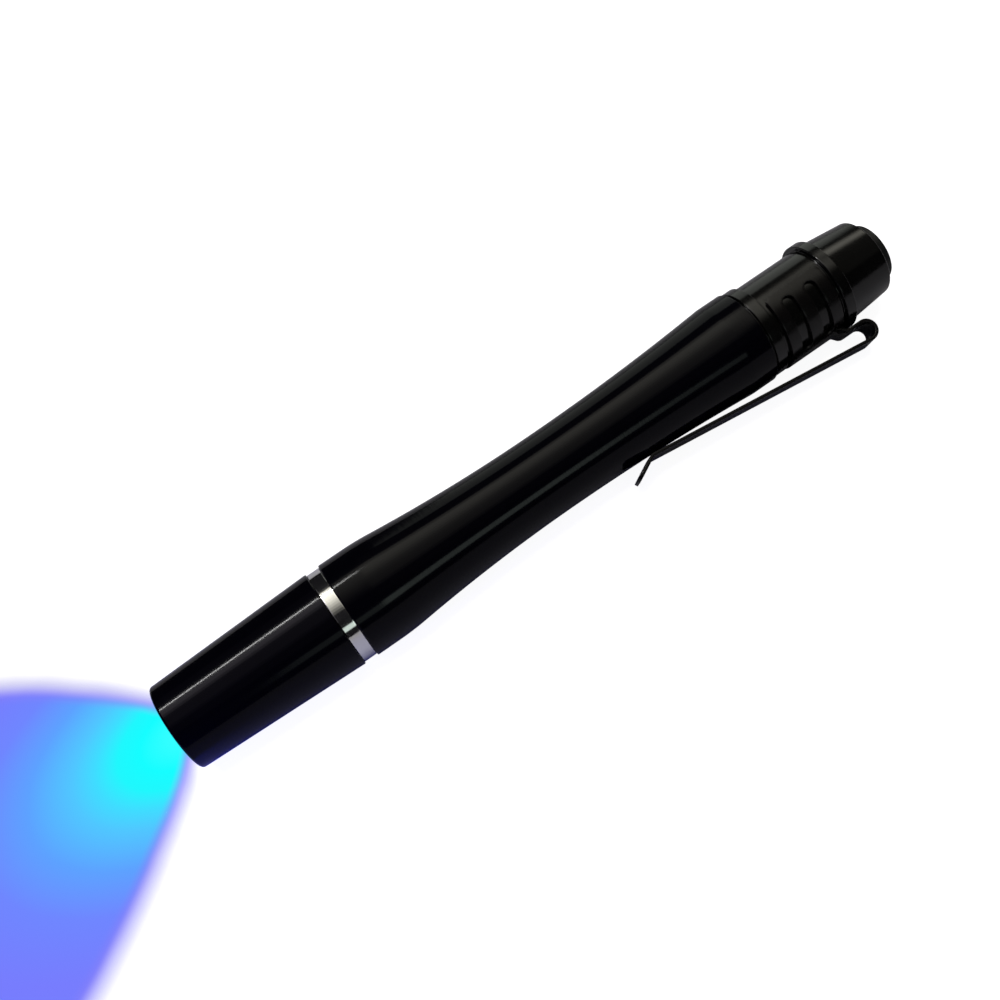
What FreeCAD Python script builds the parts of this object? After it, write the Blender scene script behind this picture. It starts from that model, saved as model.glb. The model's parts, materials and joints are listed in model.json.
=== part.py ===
import FreeCAD, Part
import math
import os

# Pen-size UV curing lamp for two AAA cells: a screw-on head with an ultraviolet LED, a waisted
# barrel, and a screw-on tail cap with a push button and a sprung pocket clip.
#
# Everything is drawn in the lamp's own frame, in millimetres: +X runs along the lamp from the front
# rim to the tail, and the clip stands off in the +Y direction.  The last step lays the lamp on its
# side, resting on the barrel's front land and the clip, with the origin on that surface at the
# centre of the lamp's footprint.

# ---------------------------------------------------------------- driving dimensions
LENGTH = 132.0
WALL_GAP = 0.1              # radial clearance of a screwed spigot in its bore
FACE_GAP = 0.02             # axial clearance where two turned faces meet
EDGE_BREAK = 0.15           # chamfer on turned corners

# head
HEAD_END = 27.95            # rear face of the head
HEAD_FRONT_R = 7.12
HEAD_REAR_R = 8.05
RIM_ROUND = 0.8             # rounding of the front rim
HEAD_BORE_R = 6.1
SHOULDER_X = 20.35          # the heat sink seats here
CELL_BORE_R = 5.6           # bore round the cells in head and tail

# screwed joints at both ends of the barrel
SPIGOT_R = 6.8
SPIGOT_BORE_R = SPIGOT_R + WALL_GAP
SPIGOT_LENGTH = 5.75        # length inside the barrel
SPIGOT_POCKET = 7.8         # depth of the barrel's counterbores
ORING_SECTION_R = 0.38
ORING_CENTRE_R = 6.46
GROOVE_BOTTOM_R = 6.05
GROOVE_WIDTH = 1.0
GROOVE_INSET = 0.9          # groove's distance from the spigot's tip

# trim ring and barrel
TRIM_R = 7.78
BARREL_START = 30.15
BARREL_END = 105.85
LAND_R = 8.08               # widest place, the barrel's front land
LAND_LENGTH = 4.2
WAIST_X = 67.0
WAIST_R = 6.48
BARREL_REAR_R = 7.97
REAR_LAND_LENGTH = 1.6
SHOULDER_SHARE = 0.14       # the shoulders' tight radius, as a share of shoulder and flank together
BARREL_BORE_R = 5.45

# cells, size AAA
CELL_R = 5.25
CELL_LENGTH = 44.5
CELL_NUB = 1.0
CELL_START = 23.4           # tip of the front cell's nub
CELL_NUB_R = 1.9
CELL_RIM_R = 4.65
CELL_BASE_R = 4.0
CELL_BASE_STEP = 0.1
CELL_SHOULDER = 0.3
NUB_ROUND = 0.2

# tail cap
RING_START = 106.25
RING_END = 108.2
RING_R = 7.72
GROOVE_R = 7.3              # the shadow groove between barrel and ring
NECK_R = 7.25
FLANGE_START = 119.9
FLANGE_END = 121.7
FLANGE_R = 8.05
CONE_START_R = 7.36
CONE_END_R = 6.55
CONE_END = 129.85
BUTTON_HOLE_R = 5.12
BOOT_SEAT_X = 127.3         # inner shoulder that the rubber boot bears on

# button
CROWN_R = 5.0
CROWN_START = 127.7
CROWN_EDGE = 0.4
CROWN_RIM_X = 131.7        # top of the crown at its edge; the middle is domed to LENGTH
PRESS_TRAVEL = 1.5

# clip
CLIP_THICK = 0.55
CLIP_WIDTH = 4.8
BAND_START = 108.95
BAND_END = 119.2
BAND_INNER_R = 7.32
BAND_HALF_ANGLE = 107.0     # the band is open on the side away from the clip
BAND_CORNER = 0.9
SLOT_WIDTH = 1.95
SLOT_CENTRES = (111.93, 116.17)
SLOT_FROM = 28.0
SLOT_TO = 88.0
ROOT_R = 8.6                # centreline of the strip where it crosses the flange
BEND_X = 121.75
BEND_R = 1.6
ARM_ANGLE = 6.65
ARM_RUN = 39.8
CONTACT_BEND_R = 0.9
LIP_ANGLE = 27.0
LIP_RUN = 4.4
FLEX_RELIEF = 8.0           # arc left open at the bend, so that the arm can swing outwards
TIP_CORNER = 1.3
STEP_START = 116.6          # the root strip begins here, in the band's own curve
STEP_LEVEL_RUN = 1.0
STEP_BEND_R = 0.9
STEP_ANGLE = 40.0

# ---------------------------------------------------------------- frame
BEND_CENTRE_R = ROOT_R + BEND_R
CLIP_REACH = BEND_CENTRE_R + BEND_R + CLIP_THICK / 2
CLIP_CORNER = math.hypot(CLIP_REACH, CLIP_WIDTH / 2)
CLIP_DROP = math.asin(LAND_R / CLIP_CORNER) - math.atan2(CLIP_WIDTH / 2, CLIP_REACH)
CLIP_SIDE = CLIP_REACH * math.cos(CLIP_DROP) + CLIP_WIDTH / 2 * math.sin(CLIP_DROP)
AXIS_Y = (CLIP_SIDE - LAND_R) / 2
AXIS_Z = LAND_R

X_AXIS = FreeCAD.Vector(1, 0, 0)
ORIGIN = FreeCAD.Vector(0, 0, 0)
LAY_DOWN = FreeCAD.Placement(
    FreeCAD.Vector(-LENGTH / 2, AXIS_Y, AXIS_Z),
    FreeCAD.Rotation(X_AXIS, 180 + math.degrees(CLIP_DROP)),
)


def vec(x, y, z=0.0):
    return FreeCAD.Vector(x, y, z)


def export(name, shape):
    """Lay one finished piece down with the rest of the lamp and write it."""
    laid = shape.copy()
    laid.Placement = LAY_DOWN.multiply(laid.Placement)
    laid.exportStep("parts/" + name + ".step")
    print("%-20s solids %d volume %9.2f valid %s" % (
        name, len(laid.Solids), laid.Volume, laid.isValid()))


# ---------------------------------------------------------------- shape helpers
def turned(outline):
    """Spin a closed outline of (x, radius) points about the lamp's axis.

    A list inside the outline is a smooth curve through its points, and a tuple that starts with
    "arc" holds the middle and the end of an arc.
    """
    edges = []
    here = vec(*outline[0])
    for item in list(outline[1:]) + [outline[0]]:
        if isinstance(item, list):
            points = [here] + [vec(*p) for p in item]
            curve = Part.BSplineCurve()
            curve.interpolate(points)
            edges.append(curve.toShape())
            here = points[-1]
        elif item[0] == "arc":
            middle = vec(*item[1])
            end = vec(*item[2])
            edges.append(Part.Arc(here, middle, end).toShape())
            here = end
        else:
            end = vec(*item)
            if here.distanceToPoint(end) > 1e-6:
                edges.append(Part.LineSegment(here, end).toShape())
            here = end
    face = Part.Face(Part.Wire(edges))
    return face.revolve(ORIGIN, X_AXIS, 360)


def tube(start, end, outer, inner=0.0):
    return turned([(start, inner), (start, outer), (end, outer), (end, inner)])


def oring(centre_x):
    circle = Part.Circle(vec(centre_x, ORING_CENTRE_R), vec(0, 0, 1), ORING_SECTION_R)
    return Part.Face(Part.Wire(circle.toShape())).revolve(ORIGIN, X_AXIS, 360)


def round_arc(centre_x, centre_r, radius, degrees):
    """Point on a rounding, measured round its centre."""
    angle = math.radians(degrees)
    return (centre_x + radius * math.cos(angle), centre_r + radius * math.sin(angle))


def ogee(start, end, first_share):
    """Two arcs from one place on an outline to another, level at both ends and tangent between.

    first_share is the first arc's part of the two radii added up.
    """
    run = end[0] - start[0]
    rise = end[1] - start[1]
    side = math.copysign(1, rise)
    lean = 2 * math.atan(abs(rise) / run)
    both = run / math.sin(lean)
    first = both * first_share
    second = both - first

    def on_first(angle):
        return (start[0] + first * math.sin(angle),
                start[1] + side * first * (1 - math.cos(angle)))

    def on_second(angle):
        return (end[0] - second * math.sin(angle),
                end[1] - side * second * (1 - math.cos(angle)))

    return [("arc", on_first(lean / 2), on_first(lean)), ("arc", on_second(lean / 2), end)]


def bar(start, end, radius, y=0.0, z=0.0):
    """Round bar along the lamp, at a place off its axis."""
    return Part.makeCylinder(radius, end - start, vec(start, y, z), X_AXIS)


def coil_spring(start, end, coil_r, wire_r, turns):
    """Helical spring along the lamp, its round wire drawn with six flats and short chords."""
    flats = 6
    chords = round(16 * turns)
    height = end - start - 2 * wire_r
    rings = []
    for i in range(chords + 1):
        angle = 2 * math.pi * turns * i / chords
        outward = vec(0, math.cos(angle), math.sin(angle))
        middle = vec(start + wire_r + height * i / chords, 0) + outward * coil_r
        ring = []
        for j in range(flats):
            around = 2 * math.pi * j / flats
            ring.append(middle + X_AXIS * (wire_r * math.cos(around))
                        + outward * (wire_r * math.sin(around)))
        rings.append(ring)
    faces = []
    for near, far in zip(rings, rings[1:]):
        for j in range(flats):
            k = (j + 1) % flats
            for corners in ((near[j], near[k], far[k]), (near[j], far[k], far[j])):
                faces.append(Part.Face(Part.makePolygon(list(corners) + [corners[0]])))
    for ring in (rings[0], rings[-1]):
        faces.append(Part.Face(Part.makePolygon(ring + [ring[0]])))
    solid = Part.Solid(Part.Shell(faces))
    solid.fixTolerance(1e-6)
    return solid


def bent_strip(start, heading, moves):
    """Sheet-metal strip in the X-radius plane: a list of ("run", length) and
    ("bend", radius, degrees) moves, bends to the left being positive."""
    half = CLIP_THICK / 2
    place = vec(*start)
    angle = math.radians(heading)
    left = []
    right = []
    for move in moves:
        normal = vec(-math.sin(angle), math.cos(angle))
        if move[0] == "run":
            end = place + vec(math.cos(angle), math.sin(angle)) * move[1]
            left.append(Part.LineSegment(place + normal * half, end + normal * half).toShape())
            right.append(Part.LineSegment(place - normal * half, end - normal * half).toShape())
            place = end
            continue
        radius = move[1]
        turn = math.radians(move[2])
        side = 1 if turn > 0 else -1
        centre = place + normal * (side * radius)
        spokes = []
        for part in (0, 0.5, 1):
            swept = angle + turn * part
            spokes.append(vec(math.sin(swept), -math.cos(swept)) * side)
        inner = [centre + s * (radius - half) for s in spokes]
        outer = [centre + s * (radius + half) for s in spokes]
        on_left, on_right = (inner, outer) if side > 0 else (outer, inner)
        left.append(Part.Arc(*on_left).toShape())
        right.append(Part.Arc(*on_right).toShape())
        angle += turn
        place = centre + spokes[2] * radius
    ends = []
    for index in (0, -1):
        point = 0 if index == 0 else 1
        a = left[index].valueAt(left[index].ParameterRange[point])
        b = right[index].valueAt(right[index].ParameterRange[point])
        ends.append(Part.LineSegment(a, b).toShape())
    wire = Part.Wire(Part.sortEdges(left + right + ends)[0])
    strip = Part.Face(wire).extrude(vec(0, 0, CLIP_WIDTH))
    strip.translate(vec(0, 0, -CLIP_WIDTH / 2))
    return strip


def radial_tool(x, angle, shape):
    """Turn a tool drawn along +Y at x = 0 to a place on the band."""
    tool = shape.copy()
    tool.translate(vec(x, 0, 0))
    tool.rotate(ORIGIN, X_AXIS, angle)
    return tool


# ---------------------------------------------------------------- head
def make_head_shell():
    spigot_end = BARREL_START + SPIGOT_LENGTH
    groove_end = spigot_end - GROOVE_INSET
    rim_r = HEAD_FRONT_R - RIM_ROUND
    return turned([
        (0, HEAD_BORE_R),
        (0, rim_r),
        ("arc", round_arc(RIM_ROUND, rim_r, RIM_ROUND, 135), (RIM_ROUND, HEAD_FRONT_R)),
        (HEAD_END - EDGE_BREAK, HEAD_REAR_R),
        (HEAD_END, HEAD_REAR_R - EDGE_BREAK),
        (HEAD_END, SPIGOT_R),
        (groove_end - GROOVE_WIDTH, SPIGOT_R),
        (groove_end - GROOVE_WIDTH, GROOVE_BOTTOM_R),
        (groove_end, GROOVE_BOTTOM_R),
        (groove_end, SPIGOT_R),
        (spigot_end - 2 * EDGE_BREAK, SPIGOT_R),
        (spigot_end, SPIGOT_R - 2 * EDGE_BREAK),
        (spigot_end, CELL_BORE_R),
        (SHOULDER_X, CELL_BORE_R),
        (SHOULDER_X, HEAD_BORE_R),
    ])


LENS_RING_START = 0.4
LENS_RING_END = 1.6
LENS_RING_BORE_R = 5.35
LENS_START = 2.5
LENS_END = 3.8
LENS_R = 6.05
LENS_ORING_R = 5.58
NOTCH_DEPTH = 0.7           # the two notches that a pin spanner turns the ring by
NOTCH_WIDTH = 1.2
NOTCH_REACH = 1.0
MIRROR_END = 12.5
MIRROR_MOUTH_R = 5.5
MIRROR_HOLE_R = 2.0
MIRROR_RIM_LENGTH = 1.2
MIRROR_OUTER_R = 5.85       # outside of the cup behind its rim
MIRROR_NECK_R = 3.9
MIRROR_NECK_LENGTH = 2.5
GASKET_R = 3.0
GASKET_WINDOW = 3.5
LED_SIDE = 3.4
LED_HEIGHT = 0.7
LED_DOME_R = 1.35
LED_FACE_X = 13.3           # front face of the LED's board
LED_BOARD_R = 5.3
BOARD_END = 14.3
SINK_FRONT_R = 5.7
SINK_CHAMFER = 0.35
SINK_FLOOR_END = 16.5
SINK_CAVITY_R = 5.0
DRIVER_START = 19.15
DRIVER_END = 20.35
CHOKE_R = 1.5
CHOKE_HEIGHT = 1.7
CHOKE_OFFSET = 1.9
CHIP_SIZE = (0.9, 2.6, 1.7)
CAPACITOR_SIZE = (0.7, 0.8, 1.5)
CAPACITOR_OFFSET = 2.4
WIRE_R = 0.4
WIRE_OFFSET = 3.6
WIRE_BEND_R = 0.6
BOARD_WIRE_GAP = 0.15
SINK_WIRE_GAP = 0.2
FRONT_COIL_R = 1.4
FRONT_SPRING_WIRE_R = 0.25
FRONT_SPRING_TURNS = 3.0


def make_lens_retainer():
    ring = tube(LENS_RING_START, LENS_RING_END, LENS_R, LENS_RING_BORE_R)
    middle_r = (LENS_R + LENS_RING_BORE_R) / 2
    for side in (1, -1):
        corner = vec(LENS_RING_START, side * middle_r - NOTCH_REACH / 2, -NOTCH_WIDTH / 2)
        ring = ring.cut(Part.makeBox(NOTCH_DEPTH, NOTCH_REACH, NOTCH_WIDTH, corner))
    return ring


def make_lens_oring():
    section_r = (LENS_START - LENS_RING_END) / 2
    centre = vec(LENS_RING_END + section_r, LENS_ORING_R)
    circle = Part.Circle(centre, vec(0, 0, 1), section_r)
    return Part.Face(Part.Wire(circle.toShape())).revolve(ORIGIN, X_AXIS, 360)


def make_lens():
    return turned([
        (LENS_START, 0), (LENS_START, LENS_R - EDGE_BREAK), (LENS_START + EDGE_BREAK, LENS_R),
        (LENS_END - EDGE_BREAK, LENS_R), (LENS_END, LENS_R - EDGE_BREAK), (LENS_END, 0),
    ])


def make_reflector():
    # the dish is a parabola: radius squared grows evenly with the distance from its vertex
    four_focal = (MIRROR_MOUTH_R ** 2 - MIRROR_HOLE_R ** 2) / (MIRROR_END - LENS_END)
    vertex_x = MIRROR_END + MIRROR_HOLE_R ** 2 / four_focal
    steps = 6
    rim_end = LENS_END + MIRROR_RIM_LENGTH
    dish = []
    for i in range(1, steps + 1):
        r = MIRROR_HOLE_R + (MIRROR_MOUTH_R - MIRROR_HOLE_R) * i / steps
        dish.append((vertex_x - r * r / four_focal, r))
    return turned([
        (MIRROR_END, MIRROR_HOLE_R), dish, (LENS_END, LENS_R), (rim_end, LENS_R),
        (rim_end, MIRROR_OUTER_R), (MIRROR_END - MIRROR_NECK_LENGTH, MIRROR_NECK_R),
        (MIRROR_END, MIRROR_NECK_R),
    ])


def make_led_gasket():
    disc = tube(MIRROR_END, LED_FACE_X, GASKET_R)
    half = GASKET_WINDOW / 2
    corner = vec(MIRROR_END, -half, -half)
    return disc.cut(Part.makeBox(LED_FACE_X - MIRROR_END, GASKET_WINDOW, GASKET_WINDOW, corner))


def make_uv_led():
    top_x = LED_FACE_X - LED_HEIGHT
    base = Part.makeBox(LED_HEIGHT, LED_SIDE, LED_SIDE, vec(top_x, -LED_SIDE / 2, -LED_SIDE / 2))
    dome = Part.makeSphere(LED_DOME_R, vec(top_x, 0, 0))
    behind = Part.makeBox(
        LED_SIDE, LED_SIDE, LED_SIDE, vec(top_x + LED_HEIGHT / 2, -LED_SIDE / 2, -LED_SIDE / 2))
    return base.fuse(dome.cut(behind)).removeSplitter()


def make_led_board():
    board = tube(LED_FACE_X, BOARD_END, LED_BOARD_R)
    hole_r = WIRE_R + BOARD_WIRE_GAP
    for side in (1, -1):
        board = board.cut(bar(LED_FACE_X, BOARD_END, hole_r, side * WIRE_OFFSET))
    return board


def make_heat_sink():
    sink = turned([
        (BOARD_END, 0), (BOARD_END, SINK_FRONT_R), (BOARD_END + SINK_CHAMFER, LENS_R),
        (DRIVER_END, LENS_R), (DRIVER_END, SINK_CAVITY_R), (SINK_FLOOR_END, SINK_CAVITY_R),
        (SINK_FLOOR_END, 0),
    ])
    hole_r = WIRE_R + SINK_WIRE_GAP
    for side in (1, -1):
        sink = sink.cut(bar(BOARD_END, SINK_FLOOR_END, hole_r, side * WIRE_OFFSET))
    return sink


def make_led_wire(side):
    """One lead from the driver board, through the heat sink, bent over onto the LED's board."""
    bend = WIRE_BEND_R
    top_x = LED_FACE_X - WIRE_R
    y = side * WIRE_OFFSET
    inner_y = y - side * bend
    arc_x = top_x + bend - bend * math.cos(math.pi / 4)
    arc_y = inner_y + side * bend * math.sin(math.pi / 4)
    path = Part.Wire([
        Part.LineSegment(vec(DRIVER_START, y), vec(top_x + bend, y)).toShape(),
        Part.Arc(vec(top_x + bend, y), vec(arc_x, arc_y), vec(top_x, inner_y)).toShape(),
    ])
    section = Part.Wire(Part.Circle(vec(DRIVER_START, y), X_AXIS, WIRE_R * 0.99).toShape())
    return path.makePipeShell([section], True, False)


def make_driver_board():
    return tube(DRIVER_START, DRIVER_END, SINK_CAVITY_R - 0.05)


def make_driver_components():
    """Choke, controller and two capacitors on the front of the driver board."""
    choke = bar(DRIVER_START - CHOKE_HEIGHT, DRIVER_START, CHOKE_R, 0, CHOKE_OFFSET)
    height, width, depth = CHIP_SIZE
    chip = Part.makeBox(
        height, width, depth, vec(DRIVER_START - height, -width / 2, CHOKE_R - CHOKE_OFFSET * 2 - 0.3))
    solids = [choke, chip]
    height, width, depth = CAPACITOR_SIZE
    for side in (1, -1):
        corner = vec(DRIVER_START - height, side * CAPACITOR_OFFSET - width / 2, -CHOKE_OFFSET)
        solids.append(Part.makeBox(height, width, depth, corner))
    return Part.makeCompound(solids)


def make_front_spring():
    return coil_spring(
        DRIVER_END, CELL_START, FRONT_COIL_R, FRONT_SPRING_WIRE_R, FRONT_SPRING_TURNS)


def make_head_oring():
    return oring(BARREL_START + SPIGOT_LENGTH - GROOVE_INSET - GROOVE_WIDTH / 2)


def make_trim_ring():
    front = HEAD_END + FACE_GAP
    rear = BARREL_START - FACE_GAP
    return turned([
        (front, SPIGOT_BORE_R), (front, TRIM_R - EDGE_BREAK), (front + EDGE_BREAK, TRIM_R),
        (rear - EDGE_BREAK, TRIM_R), (rear, TRIM_R - EDGE_BREAK), (rear, SPIGOT_BORE_R),
    ])


# ---------------------------------------------------------------- barrel and cells
def make_barrel():
    land_end = (BARREL_START + LAND_LENGTH, LAND_R)
    waist = (WAIST_X, WAIST_R)
    rear_land = (BARREL_END - REAR_LAND_LENGTH, BARREL_REAR_R)
    return turned([
        (BARREL_START, SPIGOT_BORE_R),
        (BARREL_START, LAND_R - EDGE_BREAK),
        (BARREL_START + EDGE_BREAK, LAND_R),
        land_end,
        *ogee(land_end, waist, SHOULDER_SHARE),
        *ogee(waist, rear_land, 1 - SHOULDER_SHARE),
        (BARREL_END - EDGE_BREAK, BARREL_REAR_R),
        (BARREL_END, BARREL_REAR_R - EDGE_BREAK),
        (BARREL_END, SPIGOT_BORE_R),
        (BARREL_END - SPIGOT_POCKET, SPIGOT_BORE_R),
        (BARREL_END - SPIGOT_POCKET, BARREL_BORE_R),
        (BARREL_START + SPIGOT_POCKET, BARREL_BORE_R),
        (BARREL_START + SPIGOT_POCKET, SPIGOT_BORE_R),
    ])


def make_cell(tip_x):
    """AAA cell, its positive nub towards the head."""
    can = tip_x + CELL_NUB
    end = tip_x + CELL_LENGTH
    rim = end - CELL_BASE_STEP
    return turned([
        (tip_x, 0), (tip_x, CELL_NUB_R - NUB_ROUND), (tip_x + NUB_ROUND, CELL_NUB_R),
        (can, CELL_NUB_R), (can, CELL_RIM_R), (can + CELL_SHOULDER, CELL_R),
        (rim - CELL_SHOULDER, CELL_R), (rim, CELL_RIM_R), (rim, CELL_BASE_R),
        (end, CELL_BASE_R - NUB_ROUND), (end, 0),
    ])


# ---------------------------------------------------------------- tail
CELLS_END = CELL_START + 2 * CELL_LENGTH
SPRING_SEAT_X = 118.2
REAR_COIL_R = 3.7
REAR_SPRING_WIRE_R = 0.3
REAR_SPRING_TURNS = 4.5
INSERT_R = CELL_BORE_R - 0.05
RETAINER_START = 116.0
RETAINER_BORE_R = 4.6
RETAINER_NOTCH = (1.0, 1.4, 1.2)
SWITCH_BOARD_END = 119.0
SWITCH_R = 5.4
SWITCH_COLLAR_X = 123.6     # the housing widens here to fill the bore
SWITCH_END = 125.55
WASHER_END = 126.3
BOOT_GAP = 0.06             # round the button and its plunger
PLUNGER_R = 1.4
PLUNGER_START = 123.9
PLUNGER_END = 129.2
PLUNGER_SPARE = 0.3         # left behind the plunger at full press
CROWN_BORE_R = 4.0
CROWN_CEILING_X = 130.6
CROWN_STEM_R = 1.7


def make_tail_cap():
    spigot_start = BARREL_END - SPIGOT_LENGTH
    groove_start = spigot_start + GROOVE_INSET
    shoulder = BARREL_END + FACE_GAP
    return turned([
        (spigot_start, CELL_BORE_R),
        (spigot_start, SPIGOT_R - 2 * EDGE_BREAK),
        (spigot_start + 2 * EDGE_BREAK, SPIGOT_R),
        (groove_start, SPIGOT_R),
        (groove_start, GROOVE_BOTTOM_R),
        (groove_start + GROOVE_WIDTH, GROOVE_BOTTOM_R),
        (groove_start + GROOVE_WIDTH, SPIGOT_R),
        (shoulder, SPIGOT_R),
        (shoulder, GROOVE_R),
        (RING_START, GROOVE_R),
        (RING_START, RING_R - EDGE_BREAK),
        (RING_START + EDGE_BREAK, RING_R),
        (RING_END - EDGE_BREAK, RING_R),
        (RING_END, RING_R - EDGE_BREAK),
        (RING_END, NECK_R),
        (FLANGE_START, NECK_R),
        (FLANGE_START, FLANGE_R - EDGE_BREAK),
        (FLANGE_START + EDGE_BREAK, FLANGE_R),
        (FLANGE_END - EDGE_BREAK, FLANGE_R),
        (FLANGE_END, FLANGE_R - EDGE_BREAK),
        (FLANGE_END, CONE_START_R),
        (CONE_END - 2 * EDGE_BREAK, CONE_END_R + EDGE_BREAK / 2),
        (CONE_END, CONE_END_R - EDGE_BREAK),
        (CONE_END, BUTTON_HOLE_R),
        (BOOT_SEAT_X, BUTTON_HOLE_R),
        (BOOT_SEAT_X, CELL_BORE_R),
    ])


def make_tail_oring():
    return oring(BARREL_END - SPIGOT_LENGTH + GROOVE_INSET + GROOVE_WIDTH / 2)


def make_battery_spring():
    return coil_spring(
        CELLS_END, SPRING_SEAT_X, REAR_COIL_R, REAR_SPRING_WIRE_R, REAR_SPRING_TURNS)


def make_switch_retainer():
    ring = tube(RETAINER_START, SPRING_SEAT_X, INSERT_R, RETAINER_BORE_R)
    depth, reach, width = RETAINER_NOTCH
    middle_r = (INSERT_R + RETAINER_BORE_R) / 2
    for side in (1, -1):
        corner = vec(RETAINER_START, side * middle_r - reach / 2, -width / 2)
        ring = ring.cut(Part.makeBox(depth, reach, width, corner))
    return ring


def make_switch_board():
    return tube(SPRING_SEAT_X, SWITCH_BOARD_END, INSERT_R)


def make_switch_housing():
    pocket_x = PLUNGER_START - PRESS_TRAVEL - PLUNGER_SPARE
    pocket_r = PLUNGER_R + BOOT_GAP
    return turned([
        (SWITCH_BOARD_END, 0), (SWITCH_BOARD_END, SWITCH_R), (SWITCH_COLLAR_X, SWITCH_R),
        (SWITCH_COLLAR_X, INSERT_R), (SWITCH_END, INSERT_R), (SWITCH_END, pocket_r),
        (pocket_x, pocket_r), (pocket_x, 0),
    ])


def make_boot_washer():
    return tube(SWITCH_END, WASHER_END, INSERT_R, CROWN_R + BOOT_GAP)


def make_boot_flange():
    return tube(WASHER_END, BOOT_SEAT_X, INSERT_R, CROWN_R + BOOT_GAP)


def make_boot_crown():
    dome_sag = LENGTH - CROWN_RIM_X
    edge_x = CROWN_RIM_X - CROWN_EDGE
    edge_r = CROWN_R - CROWN_EDGE
    dome_r = (edge_r ** 2 + dome_sag ** 2) / (2 * dome_sag)
    half_dome = math.degrees(math.asin(edge_r / dome_r)) / 2
    return turned([
        (CROWN_START, CROWN_BORE_R),
        (CROWN_START, CROWN_R),
        (edge_x, CROWN_R),
        ("arc", round_arc(edge_x, edge_r, CROWN_EDGE, 45), (CROWN_RIM_X, edge_r)),
        ("arc", round_arc(LENGTH - dome_r, 0, dome_r, half_dome), (LENGTH, 0)),
        (PLUNGER_END, 0),
        (PLUNGER_END, CROWN_STEM_R),
        (CROWN_CEILING_X, CROWN_STEM_R),
        (CROWN_CEILING_X, CROWN_BORE_R),
    ])


def make_switch_plunger():
    return tube(PLUNGER_START, PLUNGER_END, PLUNGER_R)


# ---------------------------------------------------------------- clip
def make_clip_band():
    outer_r = BAND_INNER_R + CLIP_THICK
    profile = Part.makePolygon([
        vec(BAND_START, BAND_INNER_R), vec(BAND_END, BAND_INNER_R), vec(BAND_END, outer_r),
        vec(BAND_START, outer_r), vec(BAND_START, BAND_INNER_R),
    ])
    band = Part.Face(profile).revolve(ORIGIN, X_AXIS, 2 * BAND_HALF_ANGLE)
    band.rotate(ORIGIN, X_AXIS, -BAND_HALF_ANGLE)

    margin = 1.0
    low = BAND_INNER_R - margin
    deep = CLIP_THICK + 2 * margin
    half = SLOT_WIDTH / 2
    slot_profile = Part.makePolygon([
        vec(-half, low), vec(half, low), vec(half, low + deep), vec(-half, low + deep),
        vec(-half, low),
    ])
    slot_end = Part.makeCylinder(half, deep, vec(0, low, 0), vec(0, 1, 0))
    for side in (1, -1):
        for centre in SLOT_CENTRES:
            slot = Part.Face(slot_profile).revolve(ORIGIN, X_AXIS, side * (SLOT_TO - SLOT_FROM))
            band = band.cut(radial_tool(centre, side * SLOT_FROM, slot))
            band = band.cut(radial_tool(centre, side * SLOT_FROM, slot_end))
            band = band.cut(radial_tool(centre, side * SLOT_TO, slot_end))

        # round the corners of the free edge
        step = side * math.degrees(BAND_CORNER / outer_r)
        for edge_x, inward in ((BAND_START, 1), (BAND_END, -1)):
            length = BAND_CORNER + margin
            depth = 2 * BAND_CORNER + margin
            corner = vec(0 if inward < 0 else -length, low, 0 if side > 0 else -depth)
            block = Part.makeBox(length, deep, depth, corner)
            disc = Part.makeCylinder(BAND_CORNER, deep, vec(0, low, 0), vec(0, 1, 0))
            tool = block.cut(disc)
            place = edge_x + inward * BAND_CORNER
            band = band.cut(radial_tool(place, side * BAND_HALF_ANGLE - step, tool))

    # the root strip steps outwards off the band and crosses over the flange
    band_mid_r = BAND_INNER_R + CLIP_THICK / 2
    tilt = math.radians(STEP_ANGLE)
    slope = (ROOT_R - band_mid_r - 2 * STEP_BEND_R * (1 - math.cos(tilt))) / math.sin(tilt)
    step_length = 2 * STEP_BEND_R * math.sin(tilt) + slope * math.cos(tilt)
    root = bent_strip((STEP_START, band_mid_r), 0, [
        ("run", STEP_LEVEL_RUN),
        ("bend", STEP_BEND_R, STEP_ANGLE),
        ("run", slope),
        ("bend", STEP_BEND_R, -STEP_ANGLE),
        ("run", BEND_X - STEP_START - STEP_LEVEL_RUN - step_length),
    ])
    return band.fuse(root).removeSplitter()


def make_clip_arm():
    relief = math.radians(FLEX_RELIEF)
    start = (BEND_X + BEND_R * math.sin(relief), BEND_CENTRE_R - BEND_R * math.cos(relief))
    arm = bent_strip(start, FLEX_RELIEF, [
        ("bend", BEND_R, 180 - FLEX_RELIEF + ARM_ANGLE),
        ("run", ARM_RUN),
        ("bend", CONTACT_BEND_R, -(ARM_ANGLE + LIP_ANGLE)),
        ("run", LIP_RUN),
    ])
    front = arm.BoundBox.XMin
    tip_edges = [e for e in arm.Edges
                 if e.Length < CLIP_THICK * 1.05 and e.BoundBox.XMax < front + CLIP_THICK]
    return arm.makeFillet(TIP_CORNER, tip_edges)


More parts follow.
